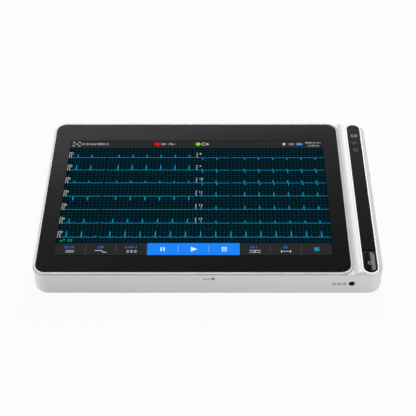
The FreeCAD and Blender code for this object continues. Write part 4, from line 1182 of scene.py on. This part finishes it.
# %% Heart traces
TRACE_BLUE = paint(27, 152, 198)
HALF_SHIFT = 0.5
COLUMN_GAP = 0.4
END_MARGIN = 0.3
HALF = SCREEN_WIDTH / 2 + HALF_SHIFT
ROW_START = 2.6
ROW_END = SCREEN_WIDTH - END_MARGIN
LEFT_COLUMN = {
    "start": ROW_START, "new_beat": 8.1, "sweep": 31.6, "old_beat": 42.9,
    "end": HALF - COLUMN_GAP,
}
RIGHT_COLUMN = {
    "start": HALF, "new_beat": HALF + 4.6, "sweep": HALF + 28.0, "old_beat": HALF + 39.9,
    "end": ROW_END,
}
RHYTHM_COLUMN = {
    "start": ROW_START, "new_beat": 7.45, "sweep": 31.0, "old_beat": 41.75, "end": ROW_END,
}
LEFT_LEADS = ((3.9, 0.0), (6.6, 0.4), (2.6, 0.0), (0.0, 5.2), (0.0, 0.0), (5.0, 0.3))
RIGHT_LEADS = ((0.4, 2.6), (1.7, 3.2), (3.4, 2.6), (4.6, 0.9), (4.2, 0.5), (3.0, 0.3))
RHYTHM_LEAD = (7.0, 0.6)


def make_traces():
    """Swept rows for the leads on the left, those on the right, and the long row."""
    rows = []
    for column, leads in ((LEFT_COLUMN, LEFT_LEADS), (RIGHT_COLUMN, RIGHT_LEADS)):
        for row, lead in enumerate(leads):
            rows += swept_row(column, row_base(row), lead)
    rows += swept_row(RHYTHM_COLUMN, row_base(len(LEFT_LEADS)), RHYTHM_LEAD)
    screen_piece("wave_traces", rows, MIDDLE, TRACE_BLUE)


make_traces()

# %% [markdown]
# ## Row numbers and test pulses
# Each row starts with a square test pulse, which shows the height of a known voltage, and a
# small number. A bevelled curve would round the corners of the pulse, so it is a ribbon with
# right-angled bends. The rows on the right half show only its first edge.

# %% Row marks
PULSE_GREY = grey(155)
NUMBER_GREY = paint(190, 196, 198)
PULSE_LINE = 0.7
PULSE_STEPS = ((0.4, 0.0), (0.9, 0.0), (0.9, 6.5), (2.5, 6.5), (2.5, 0.0), (3.0, 0.0))
HALF_STEPS = ((0.2, 0.0), (0.2, 5.9), (0.9, 5.9))
ROW_NUMBER = 2.5
NUMBER_PLACE = (2.9, 4.0)
HALF_NUMBER_PLACE = (HALF + 2.2, 3.6)
LEFT_ROWS = len(LEFT_LEADS) + 1


def test_pulse(steps, x, base):
    """A ribbon along the steps, which stand on the row's base line."""
    return ribbon(np.array(steps) + (x, base), PULSE_LINE)


def row_number(number, place, base):
    """The number of a row, beside its pulse and above its base line."""
    return figures(str(number), place[0], base + place[1], ROW_NUMBER)


def make_row_marks():
    """A pulse and a number for each row on the left, and then for each row on the right."""
    left = [row_base(row) for row in range(LEFT_ROWS)]
    right = left[:-1]
    pulses = [test_pulse(PULSE_STEPS, 0.0, base) for base in left]
    pulses += [test_pulse(HALF_STEPS, HALF, base) for base in right]
    numbers = [row_number(1 + row, NUMBER_PLACE, base) for row, base in enumerate(left)]
    for row, base in enumerate(right):
        numbers.append(row_number(1 + LEFT_ROWS + row, HALF_NUMBER_PLACE, base))
    screen_piece("test_pulses", pulses, HIGH, PULSE_GREY)
    screen_piece("row_numbers", numbers, HIGH, NUMBER_GREY)


make_row_marks()

# %% [markdown]
# ## White signs in the top bar
# The top bar carries a scan frame and a number, the rate with a small pulse, a plug, a battery
# state and a clock. They are drawn from figures, arcs and bars, so they stay sharp at any size,
# and all white ones are one piece.

# %% White header signs
HEADER_WHITE = grey(195)
HEADER_MIDDLE = -4.9
NUMBER_HEIGHT = 2.5
NUMBER_FOOT = HEADER_MIDDLE - NUMBER_HEIGHT / 2
CLOCK_HEIGHT = 2.1
DATE_FOOT = HEADER_MIDDLE + 0.8
TIME_FOOT = HEADER_MIDDLE - 2.9
HEADER_FIGURES = (
    ("0123456789012", 9.9, NUMBER_FOOT, NUMBER_HEIGHT),
    ("80", 78.4, NUMBER_FOOT, NUMBER_HEIGHT),
    ("100", 186.6, NUMBER_FOOT, NUMBER_HEIGHT),
    ("2000-01-01", 201.2, DATE_FOOT, CLOCK_HEIGHT),
    ("12:00:00", 203.0, TIME_FOOT, CLOCK_HEIGHT),
)
SIGN_LINE = 0.6
BRACKET_LINE = 0.65
BRACKET = ((1.3, 2.7), (2.3, 2.7), (3.0, 2.1), (3.0, 1.2))
SCAN_BAR = (-1.5, -0.4, 3.0, 0.8)
SCAN_X = 5.5
RATE_LINE = 0.55
RATE_PULSE = ((83.4, 0.0), (85.4, 0.0), (86.2, 1.3), (87.2, -1.2), (87.9, 0.0), (90.0, 0.0))
PLUG_X = 114.6
PLUG_RADIUS = 1.7
PLUG_ENDS = (30, 330)
PLUG_TIP = {"x": 117.6, "half_width": 1.5, "half_height": 1.3}
STATE_DIAMOND = {"x": 183.2, "half_width": 1.6, "half_height": 2.0}


def diamond(x, half_width, half_height):
    """A fan on four corners, in the middle of the top bar."""
    corners = [(half_width, 0.0), (0.0, half_height), (-half_width, 0.0), (0.0, -half_height)]
    return fan(np.array(corners) + (x, HEADER_MIDDLE))


def scan_sign(x, y):
    """Four corner brackets round a bar: one bent line, mirrored left to right and top to bottom."""
    mirrors = [(side, level) for side in (-1, 1) for level in (-1, 1)]
    marks = [ribbon(np.array(BRACKET) * mirror + (x, y), BRACKET_LINE) for mirror in mirrors]
    return marks + panels([SCAN_BAR], x, y)


def header_marks():
    """The white signs: all figures, the scan frame, a pulse, a plug and a diamond."""
    marks = [figures(*row) for row in HEADER_FIGURES] + scan_sign(SCAN_X, HEADER_MIDDLE)
    marks += [ribbon(np.array(RATE_PULSE) + (0.0, HEADER_MIDDLE), RATE_LINE)]
    marks += [bow(PLUG_X, HEADER_MIDDLE, PLUG_RADIUS, *PLUG_ENDS, SIGN_LINE)]
    return marks + [diamond(**PLUG_TIP), diamond(**STATE_DIAMOND)]


screen_piece("header_signs", header_marks(), HIGH, HEADER_WHITE)

# %% [markdown]
# ## Coloured signs in the top bar
# A red heart stands before the rate, a green lamp says that the machine is ready, and a blue
# battery shows the charge. The heart could be two discs and a triangle, but a known curve of
# sines and cosines gives its whole outline at once.

# %% Coloured header signs
HEART_RED = paint(245, 10, 12)
READY_GREEN = paint(120, 226, 20)
CHARGE_BLUE = paint(80, 145, 215)
HEART_POINTS = 40
HEART = {"x": 75.0, "y": HEADER_MIDDLE - 0.2, "size": 5.6}
READY = {"x": 109.6, "y": HEADER_MIDDLE, "radius": 2.05}
CHARGE_BARS = ((193.9, -1.35, 4.8, 2.7), (198.7, -0.6, SIGN_LINE, 1.2))


def heart(x, y, size):
    """The heart curve: across is the cube of the sine, along a sum of four cosines over 16."""
    t = np.linspace(0, 2 * np.pi, HEART_POINTS, endpoint=False)
    along = (13 * np.cos(t) - 5 * np.cos(2 * t) - 2 * np.cos(3 * t) - np.cos(4 * t)) / 16
    return fan(np.stack([x + np.sin(t) ** 3 * size / 2, y + along * size / 2], axis=1))


screen_piece("heart_sign", [heart(**HEART)], HIGH, HEART_RED)
screen_piece("ready_sign", [disc(**READY)], HIGH, READY_GREEN)
screen_piece("charge_sign", panels(CHARGE_BARS, 0.0, HEADER_MIDDLE), HIGH, CHARGE_BLUE)

# %% [markdown]
# ## Signs in the cells of the foot bar
# Five dark cells show a setting: its value in blue figures over a white line sign. The signs
# are rows, a step, a block of six, a height and a length. Each could have a function of its own,
# but a table of bars is shorter, and only the step needs a ribbon.

# %% Cell signs
VALUE_BLUE = paint(58, 126, 232)
CELL_WHITE = grey(205)
VALUE_FOOT = FOOT + 7.1
VALUE_HEIGHT = 2.5
DIGIT_WIDTH = 2.1
CELL_SIGN = FOOT + 3.9
VALUES = {0: "10:10", 1: "100", 2: "6+6+1", 6: "10:1", 7: "25"}
BAR_SIGNS = {
    0: [(-3.3, -1.15 + row, 6.6, 0.3) for row in range(3)],
    2: [(-3.9 + 2.9 * i, -1.1 + 1.5 * j, 2.0, 0.6) for i in range(3) for j in range(2)],
    6: [(-4.4, -1.3, 8.8, 0.5), (-4.4, 0.8, 8.8, 0.5), (-0.3, -1.3, 0.6, 2.6)],
    7: [(-3.8, -1.3, 0.6, 2.6), (3.2, -1.3, 0.6, 2.6), (-3.8, -0.25, 7.6, 0.5)],
}
STEP_CELL = 1
STEP_SIGN = ((-4.6, 0.9), (0.4, 0.9), (2.0, -1.0), (4.6, -1.0))


def cell_middle(index):
    """Half a cell to the right of the cell's left edge."""
    return (index + 0.5) * CELL


def value_figures(index, text):
    """Figures that start half their width left of the cell's middle."""
    left = cell_middle(index) - DIGIT_WIDTH * len(text) / 2
    return figures(text, left, VALUE_FOOT, VALUE_HEIGHT)


def cell_signs():
    """The bars of each table about the middle of its cell, and the step as one ribbon."""
    step = ribbon(np.array(STEP_SIGN) + (cell_middle(STEP_CELL), CELL_SIGN), SIGN_LINE)
    signs = [panels(rows, cell_middle(index), CELL_SIGN) for index, rows in BAR_SIGNS.items()]
    return sum(signs, [step])


values = [value_figures(index, text) for index, text in VALUES.items()]
screen_piece("footer_values", values, HIGH, VALUE_BLUE)
screen_piece("footer_signs", cell_signs(), HIGH, CELL_WHITE)

# %% [markdown]
# ## Signs on the buttons
# The blue block carries a pause sign, a start triangle and a page. The last cell has the four
# lines of a menu, and a green wave with a number above the left end of the bar says which hum
# is filtered out. A font with symbols would have such signs, but a few bars and a triangle are
# as quick, and their lines match the other signs.

# %% Button signs
BUTTON_WHITE = paint(232, 242, 255)
MENU_TEAL = paint(28, 150, 180)
NOTE_GREEN = paint(10, 175, 120)
BUTTON_MIDDLE = FOOT + 6.2
PAUSE = ((-1.7, -2.0, 1.1, 4.0), (0.6, -2.0, 1.1, 4.0))
START = ((-2.0, -2.6), (3.0, 0.0), (-2.0, 2.6))
PAGE_SIZE = (3.6, 4.6)
PAGE_LINES = ((-0.9, -1.0, 1.8, 0.5), (-0.9, 0.3, 1.8, 0.5))
MENU = [(-2.0, -1.9 + row, 4.0, 0.75) for row in range(4)]
NOTE_FOOT = WAVE_BOTTOM + 1.6
NOTE_HEIGHT = 2.8
NOTE_NUMBER_X = 8.8
NOTE_WAVE = 2.2
NOTE_WAVE_PLACE = (3.0, WAVE_BOTTOM + 3.0)
WAVE_POINTS = 30


def button_signs():
    """Two bars, a triangle, and a frame with two lines, each about the middle of its button."""
    pause, start, page = (cell_middle(index) for index in BLUE_CELLS)
    width, height = PAGE_SIZE
    marks = panels(PAUSE, pause, BUTTON_MIDDLE) + [fan(np.array(START) + (start, BUTTON_MIDDLE))]
    marks += frame_lines(page - width / 2, BUTTON_MIDDLE - height / 2, width, height, SIGN_LINE)
    return marks + panels(PAGE_LINES, page, BUTTON_MIDDLE)


def filter_note():
    """One turn of a falling sine, then the number of the hum."""
    x = np.linspace(0.0, 2 * NOTE_WAVE, WAVE_POINTS)
    wave = np.stack([x, -np.sin(x / NOTE_WAVE * np.pi)], axis=1) + NOTE_WAVE_PLACE
    return [ribbon(wave, SIGN_LINE), figures("50", NOTE_NUMBER_X, NOTE_FOOT, NOTE_HEIGHT)]


menu_bars = panels(MENU, cell_middle(CELLS - 1), BUTTON_MIDDLE)
screen_piece("button_signs", button_signs(), TOP, BUTTON_WHITE)
screen_piece("menu_sign", menu_bars, HIGH, MENU_TEAL)
screen_piece("filter_note", filter_note(), HIGH, NOTE_GREEN)

# %% [markdown]
# ## Printing ink
# The signs on the mouldings are printed. Real ink is a film much thinner than paper, so a sign
# lies just above its face. A decal would need an image and a map for it, while a patch of faces
# needs only a finish: matt and grained, so that it doesn't shine as polished plastic does.

# %% Ink
PRINT_LIFT = 0.02 * MM
INK_GRAIN = 0.05
INK_ROUGHNESS = 0.8


def ink(name, level, roughness=INK_ROUGHNESS):
    """A grained finish with a shallow grain, in a grey."""
    return grained(name, grey(level), roughness, strength=INK_GRAIN)


print("prints lie above their faces by mm:", PRINT_LIFT / MM)

# %% [markdown]
# ## Signs on the strip
# The black strip shows three small grey signs over its indicator windows: a battery, a mains
# wave and a ring. The strip is flat, so they only need its middle line and its back end, which
# the box of the lens gives.

# %% Strip signs
BRIGHT_INK = 143
DIM_INK = 91
SIGN_STEP = 9.1
SIGN_BACK = 14.3
BATTERY_LEFT = -2.3
BATTERY_SIZE = (4.4, 3.4)
BATTERY_LINE = 0.85
BATTERY_CAP = (2.1, -0.8, 0.7, 1.6)
WAVE_HALF = 2.3
WAVE_RISE = 0.8
WAVE_LINE = 0.5
WAVE_STEPS = (-0.7, 0.7)
RING_RADIUS = 1.7
RING_LINE = 0.65
FINE_RING = 40
lens_low, lens_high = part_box("indicator_lens")
strip_x = (lens_low.x + lens_high.x) / 2


def on_strip(points):
    """Millimetres from the strip's middle line and its back end, on the face of the lens."""
    x, y = points.T * MM
    level = np.full(len(points), lens_high.z + PRINT_LIFT)
    return np.stack([strip_x + x, lens_high.y + y, level], axis=1)


def battery_sign(y):
    """Four bars round an oblong, and a short cap on its right end."""
    width, height = BATTERY_SIZE
    outline = frame_lines(BATTERY_LEFT, y - height / 2, width, height, BATTERY_LINE)
    return outline + panels([BATTERY_CAP], 0.0, y)


def mains_sign(y):
    """Two sine waves, one above the other."""
    x = np.linspace(-WAVE_HALF, WAVE_HALF, WAVE_POINTS)
    wave = y + WAVE_RISE * np.sin(x / WAVE_HALF * np.pi)
    return [ribbon(np.stack([x, wave + step], axis=1), WAVE_LINE) for step in WAVE_STEPS]


def make_strip_signs():
    """Three signs at steady steps from the back end, the first in brighter ink."""
    battery, mains, ring = (-SIGN_BACK - k * SIGN_STEP for k in range(3))
    dim = mains_sign(mains) + [bow(0.0, ring, RING_RADIUS, 0, 360, RING_LINE, FINE_RING)]
    bright_ink, dim_ink = ink("bright_sign_ink", BRIGHT_INK), ink("dim_sign_ink", DIM_INK)
    lay("battery_sign", battery_sign(battery), on_strip, bright_ink)
    lay("mains_signs", dim, on_strip, dim_ink)


make_strip_signs()

# %% [markdown]
# ## Sign on the key
# The key carries the on and off sign, a broken ring with a bar. The key's top is crowned, so
# a flat print would hang in the air at its sides. Its points are lowered by the height of a
# circle instead, and the print rides on the key's own body, so it sinks with the key.

# %% Key sign
KEY_INK = 166
CROWN_HALF = 4.0 * MM
CROWN_RISE = 0.5 * MM
CROWN_RADIUS = (CROWN_HALF**2 + CROWN_RISE**2) / (2 * CROWN_RISE)
KEY_SIGN_FRONT = 10.5
KEY_SIGN_LINE = 0.5
KEY_RING = 1.6
KEY_RING_ENDS = (125, 415)
KEY_STEM = ((0.0, 0.2), (0.0, 2.1))
key_low, key_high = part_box("power_key")


def on_key(points):
    """Millimetres from the key's front end, lowered by the crown's radius less the root of its
    square less x squared."""
    x, y = points.T * MM
    drop = CROWN_RADIUS - np.sqrt(CROWN_RADIUS**2 - x**2)
    return np.stack([strip_x + x, key_low.y + y, key_high.z - drop + PRINT_LIFT], axis=1)


def power_sign():
    """A ring that is open at the back, and a bar through the opening."""
    stem = ribbon(np.array(KEY_STEM) + (0.0, KEY_SIGN_FRONT), KEY_SIGN_LINE)
    ring = bow(0.0, KEY_SIGN_FRONT, KEY_RING, *KEY_RING_ENDS, KEY_SIGN_LINE, FINE_RING)
    return [ring, stem]


key_ink = ink("grey_key_ink", KEY_INK)
lay("power_sign", power_sign(), on_key, key_ink, "power_button")

# %% [markdown]
# ## Signs on the front wall
# Beside the supply inlet is the usual polarity sign: a minus, a plug tip in its open ring and
# a plus, joined by lines. Five arrowheads point at the reset pinhole, and a ring is printed
# round it. The front wall is flat there, so these prints lie in one plane just in front of it.

# %% Front wall signs
WALL_INK = 93
WALL_INK_ROUGHNESS = 0.5
WALL_LINE = 0.42
POLARITY_X = (97.1, 100.9, 104.8)
POLARITY_Z = 13.0
POLARITY_RADIUS = 1.15
POLARITY_ARM = 0.6
CORE_RADIUS = 0.55
CORE_RING_ENDS = (40, 320)
ARROWS = 5
ARROW_STEP = 1.35
ARROW_HALF = 0.75
ARROW_TIP = 1.85
ARROW_DROP = 0.25
HOLE_RING = 1.0
hole_low, hole_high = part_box("reset_plunger")


def on_front(points):
    """Millimetres across and up on the front wall."""
    x, z = points.T * MM
    return np.stack([x, np.full(len(points), case_low.y - PRINT_LIFT), z], axis=1)


def bar(start, end, z):
    """A level line."""
    return ribbon([(start, z), (end, z)], WALL_LINE)


def polarity_sign():
    """A minus and a plus in rings, an open ring round a dot between them, and joining lines."""
    minus, core, plus = POLARITY_X
    z, reach, arm = POLARITY_Z, POLARITY_RADIUS, POLARITY_ARM
    marks = [bow(x, z, reach, 0, 360, WALL_LINE) for x in (minus, plus)]
    marks += [bow(core, z, reach, *CORE_RING_ENDS, WALL_LINE), disc(core, z, CORE_RADIUS)]
    marks += [bar(x - arm, x + arm, z) for x in (minus, plus)]
    marks += [ribbon([(plus, z - arm), (plus, z + arm)], WALL_LINE)]
    return marks + [bar(minus + reach, core - reach, z), bar(core, plus - reach, z)]


def reset_sign():
    """A row of arrowheads that point at the pinhole, and a ring round it."""
    hole = np.array([hole_low.x + hole_high.x, hole_low.z + hole_high.z]) / 2 / MM
    head = np.array([(-ARROW_HALF, ARROW_HALF), (0.0, 0.0), (-ARROW_HALF, -ARROW_HALF)])
    last = hole - (ARROW_TIP, ARROW_DROP)
    arrows = [ribbon(head + last - (k * ARROW_STEP, 0.0), WALL_LINE) for k in range(ARROWS)]
    return arrows + [bow(*hole, HOLE_RING, 0, 360, WALL_LINE)]


wall_ink = ink("wall_sign_ink", WALL_INK, WALL_INK_ROUGHNESS)
lay("front_signs", polarity_sign() + reset_sign(), on_front, wall_ink)
